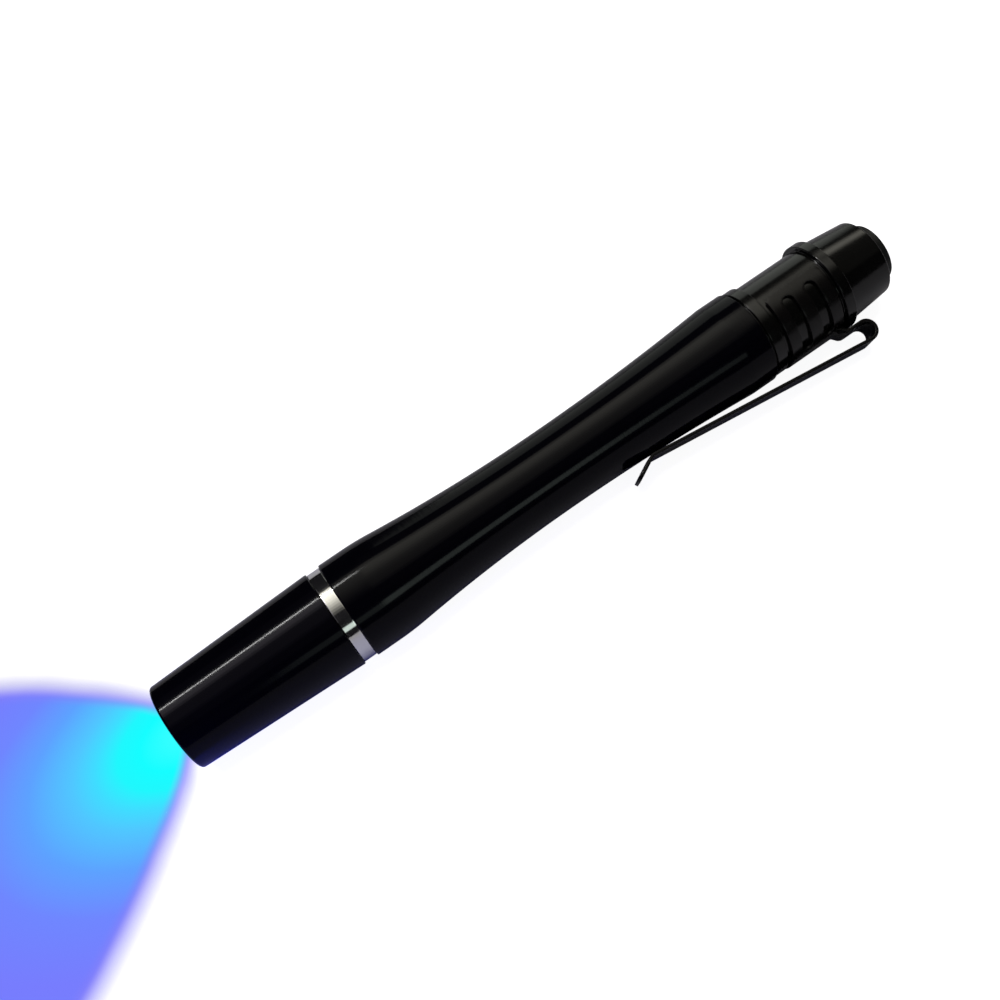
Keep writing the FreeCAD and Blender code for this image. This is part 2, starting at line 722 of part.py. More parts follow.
# ---------------------------------------------------------------- the whole lamp
def build_lamp():
    return {
        "head_shell": make_head_shell(),
        "lens_retainer": make_lens_retainer(),
        "lens_oring": make_lens_oring(),
        "front_lens": make_lens(),
        "reflector": make_reflector(),
        "led_gasket": make_led_gasket(),
        "uv_led": make_uv_led(),
        "led_board": make_led_board(),
        "heat_sink": make_heat_sink(),
        "led_wire_positive": make_led_wire(1),
        "led_wire_negative": make_led_wire(-1),
        "driver_board": make_driver_board(),
        "driver_components": make_driver_components(),
        "front_spring": make_front_spring(),
        "head_oring": make_head_oring(),
        "trim_ring": make_trim_ring(),
        "barrel": make_barrel(),
        "battery_front": make_cell(CELL_START),
        "battery_rear": make_cell(CELL_START + CELL_LENGTH),
        "tail_oring": make_tail_oring(),
        "tail_cap": make_tail_cap(),
        "battery_spring": make_battery_spring(),
        "switch_retainer": make_switch_retainer(),
        "switch_board": make_switch_board(),
        "switch_housing": make_switch_housing(),
        "boot_washer": make_boot_washer(),
        "boot_flange": make_boot_flange(),
        "button_crown": make_boot_crown(),
        "switch_plunger": make_switch_plunger(),
        "clip_band": make_clip_band(),
        "clip_arm": make_clip_arm(),
    }


os.makedirs("parts", exist_ok=True)
for name, shape in build_lamp().items():
    export(name, shape)
print("axis at y %.4f z %.4f, clip %.3f degrees below level" % (
    AXIS_Y, AXIS_Z, math.degrees(CLIP_DROP)))
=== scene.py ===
import json
import math

import bmesh
import bpy
import numpy as np
from mathutils import Matrix, Vector
from mathutils.geometry import delaunay_2d_cdt


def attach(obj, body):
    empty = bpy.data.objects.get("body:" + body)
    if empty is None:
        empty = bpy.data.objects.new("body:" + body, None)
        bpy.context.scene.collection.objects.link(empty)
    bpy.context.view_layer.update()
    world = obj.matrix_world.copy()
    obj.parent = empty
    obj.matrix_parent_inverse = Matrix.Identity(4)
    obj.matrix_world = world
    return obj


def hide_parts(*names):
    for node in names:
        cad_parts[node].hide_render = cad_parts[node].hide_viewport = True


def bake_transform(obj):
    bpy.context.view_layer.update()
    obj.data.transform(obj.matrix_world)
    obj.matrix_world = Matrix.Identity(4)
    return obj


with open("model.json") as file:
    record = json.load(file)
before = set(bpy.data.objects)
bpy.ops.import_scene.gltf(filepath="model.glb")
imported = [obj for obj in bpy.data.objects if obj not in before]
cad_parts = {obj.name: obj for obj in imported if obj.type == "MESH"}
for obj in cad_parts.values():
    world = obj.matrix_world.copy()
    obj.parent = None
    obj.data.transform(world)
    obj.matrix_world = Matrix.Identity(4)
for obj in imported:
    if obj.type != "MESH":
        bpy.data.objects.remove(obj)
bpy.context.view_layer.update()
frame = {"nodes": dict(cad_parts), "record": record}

# Everything is built in the lamp's own frame, in millimetres, as the CAD is: x runs from the front
# rim to the tail, and the clip stands off in the +y direction.  TO_ROW lays it down in the row
# frame, in metres.

# ---------------------------------------------------------------- dimensions, in millimetres
LENGTH = 132.0
HEAD_END = 27.95
HEAD_FRONT_R = 7.12
HEAD_REAR_R = 8.05
RIM_ROUND = 0.8
HEAD_BORE_R = 6.1
SHOULDER_X = 20.35
CELL_BORE_R = 5.6
SPIGOT_R = 6.8
SPIGOT_BORE_R = 6.9
SPIGOT_LENGTH = 5.75
SPIGOT_POCKET = 7.8
GROOVE_BOTTOM_R = 6.05
GROOVE_WIDTH = 1.0
GROOVE_INSET = 0.9
THREAD_PITCH = 0.75
THREAD_DEPTH = 0.34
FACE_GAP = 0.02
TRIM_R = 7.78
BARREL_START = 30.15
BARREL_END = 105.85
LAND_R = 8.08
LAND_LENGTH = 4.2
WAIST_X = 67.0
WAIST_R = 6.48
BARREL_REAR_R = 7.97
REAR_LAND_LENGTH = 1.6
CREASE_R = 5.0
SHOULDER_SHARE = 0.14
BARREL_BORE_R = 5.45
RING_START = 106.25
RING_END = 108.2
RING_R = 7.72
GROOVE_R = 7.3
NECK_R = 7.25
FLANGE_START = 119.9
FLANGE_END = 121.7
FLANGE_R = 8.05
CONE_START_R = 7.36
CONE_END_R = 6.55
CONE_END = 129.85
BUTTON_HOLE_R = 5.12
BOOT_SEAT_X = 127.3
WASHER_END = 126.3
CROWN_R = 5.0
CROWN_EDGE = 0.4
CROWN_RIM_X = 131.7
CROWN_FOOT_X = 127.7
CROWN_INNER_X = 130.6
BOOT_BORE_R = 4.0
BOOT_RIM_R = 5.5
PAD_R = 1.7
PLUNGER_END = 129.2
CLIP_THICK = 0.55
CLIP_WIDTH = 4.8
BAND_START = 108.95
BAND_END = 119.2
BAND_INNER_R = 7.32
BAND_HALF_ANGLE = 107.0
BAND_CORNER = 0.9
SLOT_WIDTH = 1.95
SLOT_CENTRES = (111.93, 116.17)
SLOT_FROM = 28.0
SLOT_TO = 88.0
ROOT_R = 8.6
STEP_START = 117.6
STEP_BEND_R = 0.9
STEP_ANGLE = 40.0
BEND_X = 121.75
BEND_R = 1.6
ARM_ANGLE = 6.65
ARM_RUN = 39.8
CONTACT_BEND_R = 0.9
LIP_ANGLE = 27.0
LIP_RUN = 4.4
TIP_CORNER = 1.3
LENS_START = 2.5
LENS_END = 3.8
LENS_R = 6.05
LENS_RING_START = 0.4
LENS_RING_END = 1.6
LENS_RING_BORE_R = 5.35
RING_BEVEL = 0.25
RING_BEVEL_DEPTH = 0.3
PIN_NOTCH_WIDTH = 1.2
PIN_NOTCH_DEPTH = 0.7
MIRROR_END = 12.5
MIRROR_MOUTH_R = 5.5
MIRROR_HOLE_R = 2.0
MIRROR_OUTER_R = 5.85
MIRROR_NECK_R = 3.9
MIRROR_NECK_LENGTH = 2.5
MIRROR_LIP = 1.2
LED_FACE_X = 13.3
LED_HEIGHT = 0.7
LED_SIDE = 3.4
LED_DOME_R = 1.35
LED_CORNER = 0.3
LED_EDGE = 0.12
DIE_HALF = 0.55
DRIVER_END = 20.35
CELL_START = 23.4
CELLS_END = 112.4
SPRING_SEAT_X = 118.2

# ---------------------------------------------------------------- the lamp's place in the row frame
CLIP_REACH = ROOT_R + 2 * BEND_R + CLIP_THICK / 2
CLIP_DROP = (math.asin(LAND_R / math.hypot(CLIP_REACH, CLIP_WIDTH / 2))
             - math.atan2(CLIP_WIDTH / 2, CLIP_REACH))
CLIP_SIDE = CLIP_REACH * math.cos(CLIP_DROP) + CLIP_WIDTH / 2 * math.sin(CLIP_DROP)
AXIS_Y = (CLIP_SIDE - LAND_R) / 2
AXIS_Z = LAND_R
MM = 0.001
TO_ROW = (Matrix.Translation((-LENGTH / 2 * MM, AXIS_Y * MM, AXIS_Z * MM))
          @ Matrix.Rotation(math.pi + CLIP_DROP, 4, "X") @ Matrix.Scale(MM, 4))
TURN = 2 * math.pi
STEPS = 192              # facets round a turned piece
ARC_PIECES = 24          # facets along a long arc


def row(x, y=0.0, z=0.0):
    return TO_ROW @ Vector((x, y, z))


# ---------------------------------------------------------------- mesh helpers
def new_object(name, data):
    obj = bpy.data.objects.new(name, data)
    bpy.context.scene.collection.objects.link(obj)
    return obj


def add_mesh(name, verts, faces, material, crease=32.0):
    """Object from points in the lamp's frame, its normals turned outwards."""
    grid = np.array(verts, float)
    place = np.array(TO_ROW)
    laid = grid @ place[:3, :3].T + place[:3, 3]
    mesh = bpy.data.meshes.new(name)
    mesh.from_pydata(laid.tolist(), [], faces)
    work = bmesh.new()
    work.from_mesh(mesh)
    bmesh.ops.recalc_face_normals(work, faces=work.faces)
    work.to_mesh(mesh)
    work.free()
    mesh.shade_smooth()
    mesh.set_sharp_from_angle(angle=math.radians(crease))
    mesh.materials.append(material)
    return new_object(name, mesh)


def piece(name, verts, faces, slot, body, replaced=(), material=None, crease=32.0):
    """A finished rigid piece: its slot's material, its body and the CAD nodes that it stands for."""
    obj = add_mesh(name, verts, faces, material or MATERIALS[slot], crease)
    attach(obj, body)
    if replaced:
        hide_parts(*replaced)
    return obj


def rounded(points, radius=0.12):
    """Closed (x, r) outline with rounded corners. A third value is that corner's own radius."""
    out = []
    count = len(points)
    for i, point in enumerate(points):
        here = Vector(point[:2])
        size = point[2] if len(point) > 2 else radius
        before = Vector(points[i - 1][:2]) - here
        after = Vector(points[(i + 1) % count][:2]) - here
        if size <= 0 or here.y < 1e-6 or before.length < 1e-6 or after.length < 1e-6:
            out.append(tuple(here))
            continue
        corner = before.angle(after)
        if corner > math.radians(176):
            out.append(tuple(here))
            continue
        cut = min(size / math.tan(corner / 2), 0.45 * before.length, 0.45 * after.length)
        first = here + before.normalized() * cut
        last = here + after.normalized() * cut
        arc_r = cut * math.tan(corner / 2)
        centre = here + (before.normalized() + after.normalized()).normalized() * math.hypot(cut, arc_r)
        turn = math.pi - corner
        pieces = max(2, math.ceil(math.degrees(turn) / 15))
        start = first - centre
        side = 1 if start.x * (last - centre).y - start.y * (last - centre).x > 0 else -1
        for k in range(pieces + 1):
            angle = side * turn * k / pieces
            out.append((centre.x + start.x * math.cos(angle) - start.y * math.sin(angle),
                        centre.y + start.x * math.sin(angle) + start.y * math.cos(angle)))
    return out


def between(near, far, t):
    """Point a share t of the way from one point to another."""
    return tuple(a + (b - a) * t for a, b in zip(near, far))


def fine(points, longest=0.9, support=0.04):
    """Split an outline's long sides, with a row close to each end that keeps the shading flat."""
    out = []
    for near, far in zip(points, points[1:] + points[:1]):
        out.append(near)
        length = math.dist(near, far)
        if length < 4 * support or (near[1] < 1e-6 and far[1] < 1e-6):
            continue
        inner = max(1, math.ceil((length - 2 * support) / longest))
        for k in range(inner + 1):
            t = (support + (length - 2 * support) * k / inner) / length
            out.append(between(near, far, t))
    return out


def lathe(outline, steps=STEPS, relief=None):
    """Spin a closed outline. relief(x, r, angle) moves a point's radius."""
    verts = []
    rings = []
    for x, r in outline:
        if r < 1e-6:
            rings.append([len(verts)] * steps)
            verts.append((x, 0.0, 0.0))
            continue
        rings.append(list(range(len(verts), len(verts) + steps)))
        for k in range(steps):
            angle = TURN * k / steps
            radius = r + relief(x, r, angle) if relief else r
            verts.append((x, radius * math.cos(angle), radius * math.sin(angle)))
    faces = []
    for i, near in enumerate(rings):
        far = rings[(i + 1) % len(rings)]
        for k in range(steps):
            m = (k + 1) % steps
            corners = tuple(dict.fromkeys((near[k], near[m], far[m], far[k])))
            if len(corners) > 2:
                faces.append(corners)
    return verts, faces


def ring_faces(rings, capped=True):
    """Faces between matching rings of points, with the two end rings closed if capped."""
    faces = [tuple(rings[0]), tuple(rings[-1])] if capped else []
    for near, far in zip(rings, rings[1:]):
        for k in range(len(near)):
            m = (k + 1) % len(near)
            faces.append((near[k], near[m], far[m], far[k]))
    return faces


def rounded_rectangle(half_first, half_second, corner):
    """Outline round its own centre, with rounded corners."""
    out = []
    for quarter, (first, second) in enumerate(((1, 1), (-1, 1), (-1, -1), (1, -1))):
        for k in range(5):
            angle = math.radians(90 * quarter + 22.5 * k)
            out.append((first * (half_first - corner) + corner * math.cos(angle),
                        second * (half_second - corner) + corner * math.sin(angle)))
    return out


def thread(start, end):
    """Right-hand thread cut into a spigot between two places, running out at both."""
    def relief(x, r, angle):
        if not start < x < end or abs(r - SPIGOT_R) > 0.01:
            return 0.0
        phase = (x / THREAD_PITCH - angle / TURN) % 1
        flank = min(max((0.88 - abs(2 * phase - 1)) / 0.66, 0.0), 1.0)
        fade = min(1.0, (x - start) / THREAD_PITCH, (end - x) / THREAD_PITCH)
        return -THREAD_DEPTH * flank * fade
    return relief


def arc_points(start, end, first_share, pieces=ARC_PIECES):
    """Two tangent arcs between level places on an outline, as points after the first."""
    run = end[0] - start[0]
    rise = end[1] - start[1]
    side = math.copysign(1, rise)
    lean = 2 * math.atan(abs(rise) / run)
    both = run / math.sin(lean)
    first = both * first_share
    second = both - first
    out = []
    for k in range(1, pieces + 1):
        angle = lean * k / pieces
        out.append((start[0] + first * math.sin(angle),
                    start[1] + side * first * (1 - math.cos(angle)), 0))
    for k in range(1, pieces + 1):
        angle = lean * (1 - k / pieces)
        out.append((end[0] - second * math.sin(angle),
                    end[1] - side * second * (1 - math.cos(angle)), 0))
    return out


# ---------------------------------------------------------------- materials
def node(tree, kind, settings=None, **sockets):
    """Shader node with its settings and its sockets filled: a value, or another node's output."""
    made = tree.nodes.new("ShaderNode" + kind)
    for key, value in (settings or {}).items():
        setattr(made, key, value)
    for key, value in sockets.items():
        index = int(key[1:]) if key[0] == "i" and key[1:].isdigit() else key.replace("_", " ")
        if isinstance(value, bpy.types.NodeSocket):
            tree.links.new(value, made.inputs[index])
        else:
            made.inputs[index].default_value = value
    return made


def maths(tree, operation, *values):
    sockets = {"i%d" % k: v for k, v in enumerate(values)}
    return node(tree, "Math", {"operation": operation}, **sockets).outputs[0]


def noise(tree, place, scale, detail):
    """Cloudy values about a half."""
    return node(tree, "TexNoise", Vector=place, Scale=scale, Detail=detail).outputs[0]


def mix_colour(tree, factor, first, second):
    made = node(tree, "Mix", {"data_type": "RGBA"}, i0=factor, i6=first, i7=second)
    return made.outputs[2]


def ramp(tree, value, low, high, out_low=0.0, out_high=1.0):
    made = node(tree, "MapRange", {"interpolation_type": "SMOOTHSTEP"}, Value=value, i1=low, i2=high,
                i3=out_low, i4=out_high)
    return made.outputs[0]


def start_material(name, colour, metallic=0.0, roughness=0.4, **fixed):
    """New material, with the values that are the same all over set on the shader itself."""
    made = bpy.data.materials.new(name)
    made.use_nodes = True
    shader = made.node_tree.nodes["Principled BSDF"]
    shader.inputs["Base Color"].default_value = (*colour, 1.0)
    shader.inputs["Metallic"].default_value = metallic
    shader.inputs["Roughness"].default_value = roughness
    for key, value in fixed.items():
        shader.inputs[key.replace("_", " ")].default_value = value
    return made, made.node_tree, shader


def plug(tree, shader, **outputs):
    """Link nodes' outputs to the shader's own sockets."""
    for key, output in outputs.items():
        tree.links.new(output, shader.inputs[key.replace("_", " ")])


def add_bump(tree, shader, strength, distance, height):
    bump = node(tree, "Bump", Strength=strength, Distance=distance, Height=height)
    plug(tree, shader, Normal=bump.outputs[0])


def lamp_place(tree):
    """Place on the lamp in millimetres, measured from its front rim and its axis."""
    coords = node(tree, "TexCoord").outputs["Object"]
    return node(tree, "Mapping", Vector=coords, Location=(LENGTH / 2, -AXIS_Y, -AXIS_Z),
                Scale=(1000.0, 1000.0, 1000.0)).outputs[0]


def shades(colour, tint):
    """A darker and a lighter shade of a colour, as the shader takes them."""
    darker = tuple(c * (1 - tint) for c in colour)
    lighter = tuple(min(1.0, c * (1 + tint)) for c in colour)
    return (*darker, 1), (*lighter, 1)


def turned_metal(name, colour, roughness, marks, metallic=0.0, spread=0.07, tint=0.3, **fixed):
    """Metal off the lathe: fine rings across the lamp, broken up a little round it."""
    made, tree, shader = start_material(name, colour, metallic, roughness, **fixed)
    place = lamp_place(tree)
    x = node(tree, "SeparateXYZ", Vector=place).outputs[0]
    cuts = node(tree, "TexNoise", {"noise_dimensions": "1D"}, W=x, Scale=4.6, Detail=3.0).outputs[0]
    feed = node(tree, "TexNoise", {"noise_dimensions": "1D"}, W=x, Scale=0.9, Detail=2.0).outputs[0]
    cloud = noise(tree, place, 0.35, 3.0)
    stretched = node(tree, "Mapping", Vector=place, Scale=(7.0, 0.5, 0.5)).outputs[0]
    scuff = noise(tree, stretched, 1.0, 4.0)
    grain = maths(tree, "ADD", maths(tree, "MULTIPLY", cuts, 0.6), maths(tree, "MULTIPLY", scuff, 0.4))
    rough = maths(tree, "ADD", maths(tree, "MULTIPLY", grain, spread),
                  maths(tree, "MULTIPLY", cloud, spread * 0.6))
    plug(tree, shader, Roughness=maths(tree, "ADD", rough, roughness - 0.8 * spread))
    shade = maths(tree, "ADD", maths(tree, "MULTIPLY", feed, 0.5), maths(tree, "MULTIPLY", cloud, 0.5))
    plug(tree, shader, Base_Color=mix_colour(tree, shade, *shades(colour, tint)))
    height = maths(tree, "ADD", maths(tree, "MULTIPLY", grain, 0.65), maths(tree, "MULTIPLY", feed, 0.35))
    add_bump(tree, shader, marks, 0.000006, height)
    return made


def moulded(name, colour, roughness, grain_scale, depth, tint=0.25, **fixed):
    """Plastic, rubber or coating: fine grain with soft cloudy shading."""
    made, tree, shader = start_material(name, colour, 0.0, roughness, **fixed)
    place = lamp_place(tree)
    grain = noise(tree, place, grain_scale, 4.0)
    cloud = noise(tree, place, 0.6, 2.0)
    plug(tree, shader, Base_Color=mix_colour(tree, cloud, *shades(colour, tint)))
    rough = maths(tree, "ADD", maths(tree, "MULTIPLY", grain, 0.14), roughness - 0.07)
    plug(tree, shader, Roughness=rough)
    add_bump(tree, shader, 0.6, depth * MM, grain)
    return made


def clear_material(name, colour, roughness, ior):
    made, tree, shader = start_material(name, colour, 0.0, roughness, IOR=ior, Transmission_Weight=1.0)
    place = lamp_place(tree)
    film = noise(tree, place, 0.5, 2.0)
    paler = tuple(min(1.0, c * 1.04) for c in colour)
    plug(tree, shader, Base_Color=mix_colour(tree, film, (*colour, 1), (*paler, 1)))
    return made


def led_material():
    """Violet die: a bright square crossed by its thin dark contact lines."""
    made, tree, shader = start_material("led_die", (0.2, 0.2, 0.35), 0.0, 0.4)
    place = lamp_place(tree)
    lines = node(tree, "TexWave", {"bands_direction": "Y"}, Vector=place, Scale=0.9,
                 Distortion=0.0).outputs[1]
    glow = ramp(tree, lines, 0.02, 0.2, 4.0, 26.0)
    plug(tree, shader, Emission_Strength=glow)
    shader.inputs["Emission Color"].default_value = (0.22, 0.35, 1.0, 1)
    return made


def cell_material():
    """Plain dark sleeve over a bare steel can, shown at both ends."""
    made, tree, shader = start_material("battery_wrap", (0.03, 0.045, 0.07), 0.0, 0.3)
    place = lamp_place(tree)
    _, y, z = node(tree, "SeparateXYZ", Vector=place).outputs
    radius = maths(tree, "SQRT", maths(tree, "ADD", maths(tree, "MULTIPLY", y, y),
                                       maths(tree, "MULTIPLY", z, z)))
    bare = ramp(tree, radius, 4.7, 4.8, 1.0, 0.0)
    seam = noise(tree, place, 3.0, 3.0)
    sleeve = mix_colour(tree, seam, (0.02, 0.03, 0.05, 1), (0.04, 0.06, 0.09, 1))
    colour = mix_colour(tree, bare, sleeve, (0.62, 0.61, 0.58, 1))
    plug(tree, shader, Base_Color=colour, Metallic=bare)
    return made


def board_material(name, mask, pad):
    """Solder mask with tinned pads and faint buried tracks."""
    made, tree, shader = start_material(name, mask, 0.0, 0.35)
    place = lamp_place(tree)
    cells = node(tree, "TexVoronoi", {"feature": "F1"}, Vector=place, Scale=0.75).outputs["Distance"]
    pads = ramp(tree, cells, 0.2, 0.24, 1.0, 0.0)
    tracks = node(tree, "TexVoronoi", {"feature": "DISTANCE_TO_EDGE"}, Vector=place, Scale=0.9).outputs[0]
    track = ramp(tree, tracks, 0.05, 0.09, 0.0, 1.0)
    buried = mix_colour(tree, track, (*[min(1, c * 1.5 + 0.01) for c in mask], 1), (*mask, 1))
    plug(tree, shader, Base_Color=mix_colour(tree, pads, buried, (*pad, 1)), Metallic=pads)
    add_bump(tree, shader, 0.5, 0.02 * MM, track)
    return made


MATERIALS = {
    "black_anodised": turned_metal("black_anodised", (0.0013, 0.0011, 0.0031), 0.11, 0.6, spread=0.04,
                                   IOR=1.22),
    "satin_anodised": turned_metal("satin_anodised", (0.0026, 0.0026, 0.0024), 0.17, 0.5, spread=0.07,
                                   IOR=1.42),
    "polished_aluminium": turned_metal("polished_aluminium", (0.86, 0.86, 0.85), 0.09, 0.35,
                                       metallic=1.0, tint=0.05),
    "plain_aluminium": turned_metal("plain_aluminium", (0.66, 0.67, 0.68), 0.34, 1.0, metallic=1.0,
                                    tint=0.1),
    "mirror_aluminium": turned_metal("mirror_aluminium", (0.93, 0.93, 0.95), 0.06, 0.1, metallic=1.0,
                                     spread=0.03, tint=0.03),
    "contact_brass": turned_metal("contact_brass", (0.85, 0.62, 0.26), 0.24, 0.3, metallic=1.0,
                                  tint=0.1),
    "contact_steel": turned_metal("contact_steel", (0.66, 0.66, 0.64), 0.26, 0.3, metallic=1.0,
                                  tint=0.1),
    "clip_black": moulded("clip_black", (0.004, 0.0034, 0.0034), 0.24, 5.0, 0.004, IOR=1.36),
    "button_rubber": moulded("button_rubber", (0.003, 0.003, 0.0032), 0.5, 9.0, 0.02, IOR=1.4),
    "black_rubber": moulded("black_rubber", (0.01, 0.01, 0.01), 0.42, 4.0, 0.01),
    "white_plastic": moulded("white_plastic", (0.78, 0.78, 0.74), 0.45, 4.0, 0.01, tint=0.04),
    "dark_plastic": moulded("dark_plastic", (0.022, 0.022, 0.024), 0.45, 5.0, 0.02),
    "dark_component": moulded("dark_component", (0.03, 0.03, 0.03), 0.5, 7.0, 0.02),
    "red_wire": moulded("red_wire", (0.5, 0.02, 0.02), 0.3, 3.0, 0.005, tint=0.1),
    "black_wire": moulded("black_wire", (0.014, 0.014, 0.014), 0.3, 3.0, 0.005),
    "board_aluminium": board_material("board_aluminium", (0.7, 0.72, 0.7), (0.8, 0.78, 0.7)),
    "green_board": board_material("green_board", (0.012, 0.1, 0.04), (0.85, 0.65, 0.3)),
    "battery_wrap": cell_material(),
    "lens_glass": clear_material("lens_glass", (0.93, 0.94, 0.98), 0.0, 1.5),
    "led_emitter": clear_material("led_emitter", (0.95, 0.95, 0.9), 0.04, 1.42),
}
LED_DIE = led_material()

for name, made in frame["nodes"].items():
    wanted = next(s["material_slot"] for s in frame["record"]["subparts"] if s["node"] == name)
    made.data.materials.clear()
    made.data.materials.append(MATERIALS[wanted])
    made.data.set_sharp_from_angle(angle=math.radians(32))


# ---------------------------------------------------------------- head
def thread_rows(points, start, end):
    """Rows close enough for the thread between two places on the spigot."""
    out = []
    for near, far in zip(points, points[1:] + points[:1]):
        out.append(near)
        if abs(near[1] - SPIGOT_R) < 1e-6 and abs(far[1] - SPIGOT_R) < 1e-6:
            low, high = sorted((near[0], far[0]))
            low, high = max(low, start), min(high, end)
            rows = [low + (high - low) * k / 64 for k in range(65)] if high > low else []
            if near[0] > far[0]:
                rows.reverse()
            out.extend((x, SPIGOT_R) for x in rows)
    return out


def make_head():
    tip = BARREL_START + SPIGOT_LENGTH
    groove = tip - GROOVE_INSET
    front = HEAD_FRONT_R - (HEAD_REAR_R - HEAD_FRONT_R) * RIM_ROUND / (HEAD_END - RIM_ROUND)
    start, end = BARREL_START - 0.1, groove - GROOVE_WIDTH - 0.25
    outline = rounded([
        (0, HEAD_BORE_R, 0.15), (0, front, RIM_ROUND), (HEAD_END, HEAD_REAR_R, 0.16),
        (HEAD_END, SPIGOT_R, 0), (groove - GROOVE_WIDTH, SPIGOT_R, 0.08),
        (groove - GROOVE_WIDTH, GROOVE_BOTTOM_R, 0.05), (groove, GROOVE_BOTTOM_R, 0.05),
        (groove, SPIGOT_R, 0.08), (tip, SPIGOT_R, 0.25), (tip, CELL_BORE_R),
        (SHOULDER_X, CELL_BORE_R), (SHOULDER_X, HEAD_BORE_R, 0),
    ])
    outline = thread_rows(fine(outline), start, end)
    verts, faces = lathe(outline, relief=thread(start, end))
    piece("head_skin", verts, faces, "black_anodised", "head", ["head_shell"])


def make_trim_ring():
    front = HEAD_END + FACE_GAP
    rear = BARREL_START - FACE_GAP
    outline = fine(rounded([(front, SPIGOT_BORE_R), (front, TRIM_R, 0.14), (rear, TRIM_R, 0.14),
                            (rear, SPIGOT_BORE_R)]), 0.4)
    verts, faces = lathe(outline)
    piece("trim_ring_skin", verts, faces, "polished_aluminium", "head_slide", ["trim_ring"])


def make_optics():
    # clear window with ground edges
    outline = rounded([(LENS_START, 0), (LENS_START, LENS_R, 0.2), (LENS_END, LENS_R, 0.2),
                       (LENS_END, 0)])
    verts, faces = lathe(fine(outline))
    piece("window", verts, faces, "lens_glass", "head", ["front_lens"])

    # retaining ring: two notches for a pin spanner and a bevel towards the light
    outline = rounded([(LENS_RING_START, LENS_RING_BORE_R + RING_BEVEL, 0.05),
                       (LENS_RING_START, LENS_R, 0.1), (LENS_RING_END, LENS_R, 0.05),
                       (LENS_RING_END, LENS_RING_BORE_R, 0.05),
                       (LENS_RING_START + RING_BEVEL_DEPTH, LENS_RING_BORE_R, 0.05)])
    verts, faces = lathe(fine(outline, 0.3))
    half_angle = PIN_NOTCH_WIDTH / (LENS_R + LENS_RING_BORE_R)
    notch_floor = LENS_RING_START + PIN_NOTCH_DEPTH
    cut = []
    for x, y, z in verts:
        angle = abs(math.atan2(z, y))
        notched = min(angle, math.pi - angle) < half_angle
        cut.append((max(x, notch_floor) if notched else x, y, z))
    piece("lens_ring_skin", cut, faces, "black_anodised", "head", ["lens_retainer"])

    # reflector: a deep parabola, mirror-coated inside
    four_focal = (MIRROR_MOUTH_R ** 2 - MIRROR_HOLE_R ** 2) / (MIRROR_END - LENS_END)
    vertex_x = MIRROR_END + MIRROR_HOLE_R ** 2 / four_focal
    dish = []
    for k in range(49):
        r = MIRROR_HOLE_R + (MIRROR_MOUTH_R - MIRROR_HOLE_R) * k / 48
        dish.append((vertex_x - r * r / four_focal, r))
    lip_end = LENS_END + MIRROR_LIP
    back = rounded([(LENS_END, LENS_R, 0.05), (lip_end, LENS_R, 0.05), (lip_end, MIRROR_OUTER_R, 0),
                    (MIRROR_END - MIRROR_NECK_LENGTH, MIRROR_NECK_R, 0.3),
                    (MIRROR_END, MIRROR_NECK_R, 0.1), (MIRROR_END, MIRROR_NECK_R - 0.5, 0)])
    verts, faces = lathe(dish + back)
    piece("reflector_skin", verts, faces, "mirror_aluminium", "head", ["reflector"])


def prism(layers):
    """Closed solid through matching layers of points."""
    count = len(layers[0])
    verts = [point for layer in layers for point in layer]
    rings = [range(base, base + count) for base in range(0, len(verts), count)]
    return verts, ring_faces(rings)


def rounded_square(x, half, corner):
    return [(x, y, z) for y, z in rounded_rectangle(half, half, corner)]


def make_led():
    """Ceramic base, silicone dome, and the lit die inside it."""
    top = LED_FACE_X - LED_HEIGHT
    half = LED_SIDE / 2
    verts, faces = prism([rounded_square(LED_FACE_X, half, LED_CORNER),
                          rounded_square(top + LED_EDGE, half, LED_CORNER),
                          rounded_square(top, half - LED_EDGE, LED_CORNER)])
    piece("led_base", verts, faces, "white_plastic", "head", ["uv_led"])
    dome_foot = top - 0.02
    dome = [(dome_foot, 0), (dome_foot, LED_DOME_R)]
    for k in range(1, 24):
        angle = math.radians(90 * k / 24)
        dome.append((dome_foot - LED_DOME_R * math.sin(angle), LED_DOME_R * math.cos(angle)))
    dome.append((dome_foot - LED_DOME_R, 0))
    verts, faces = lathe(dome, 96)
    piece("led_dome", verts, faces, "led_emitter", "head")
    square = ((DIE_HALF, DIE_HALF), (-DIE_HALF, DIE_HALF), (-DIE_HALF, -DIE_HALF), (DIE_HALF, -DIE_HALF))
    verts, faces = prism([[(x, y, z) for y, z in square] for x in (top - 0.2, top - 0.04)])
    piece("led_die", verts, faces, "led_emitter", "head", material=LED_DIE)


def make_spring(name, start, end, coil_r, wire_r, turns, slot, body, replaced):
    """Round-wire spring with a closed, flattened coil at each end."""
    flats = 14
    total = turns + 1.5
    chords = round(40 * total)
    travel = end - start - 2 * wire_r
    rings = []
    verts = []
    for i in range(chords + 1):
        t = i / chords
        closed = 0.75 / total
        rise = min(max((t - closed) / (1 - 2 * closed), 0.0), 1.0)
        rise = rise * 0.94 + 0.06 * t
        angle = TURN * total * t
        x = start + wire_r + travel * rise
        ring = []
        for j in range(flats):
            around = TURN * j / flats
            r = coil_r + wire_r * math.sin(around)
            ring.append(len(verts))
            verts.append((x + wire_r * math.cos(around), r * math.cos(angle), r * math.sin(angle)))
        rings.append(ring)
    piece(name, verts, ring_faces(rings), slot, body, [replaced])


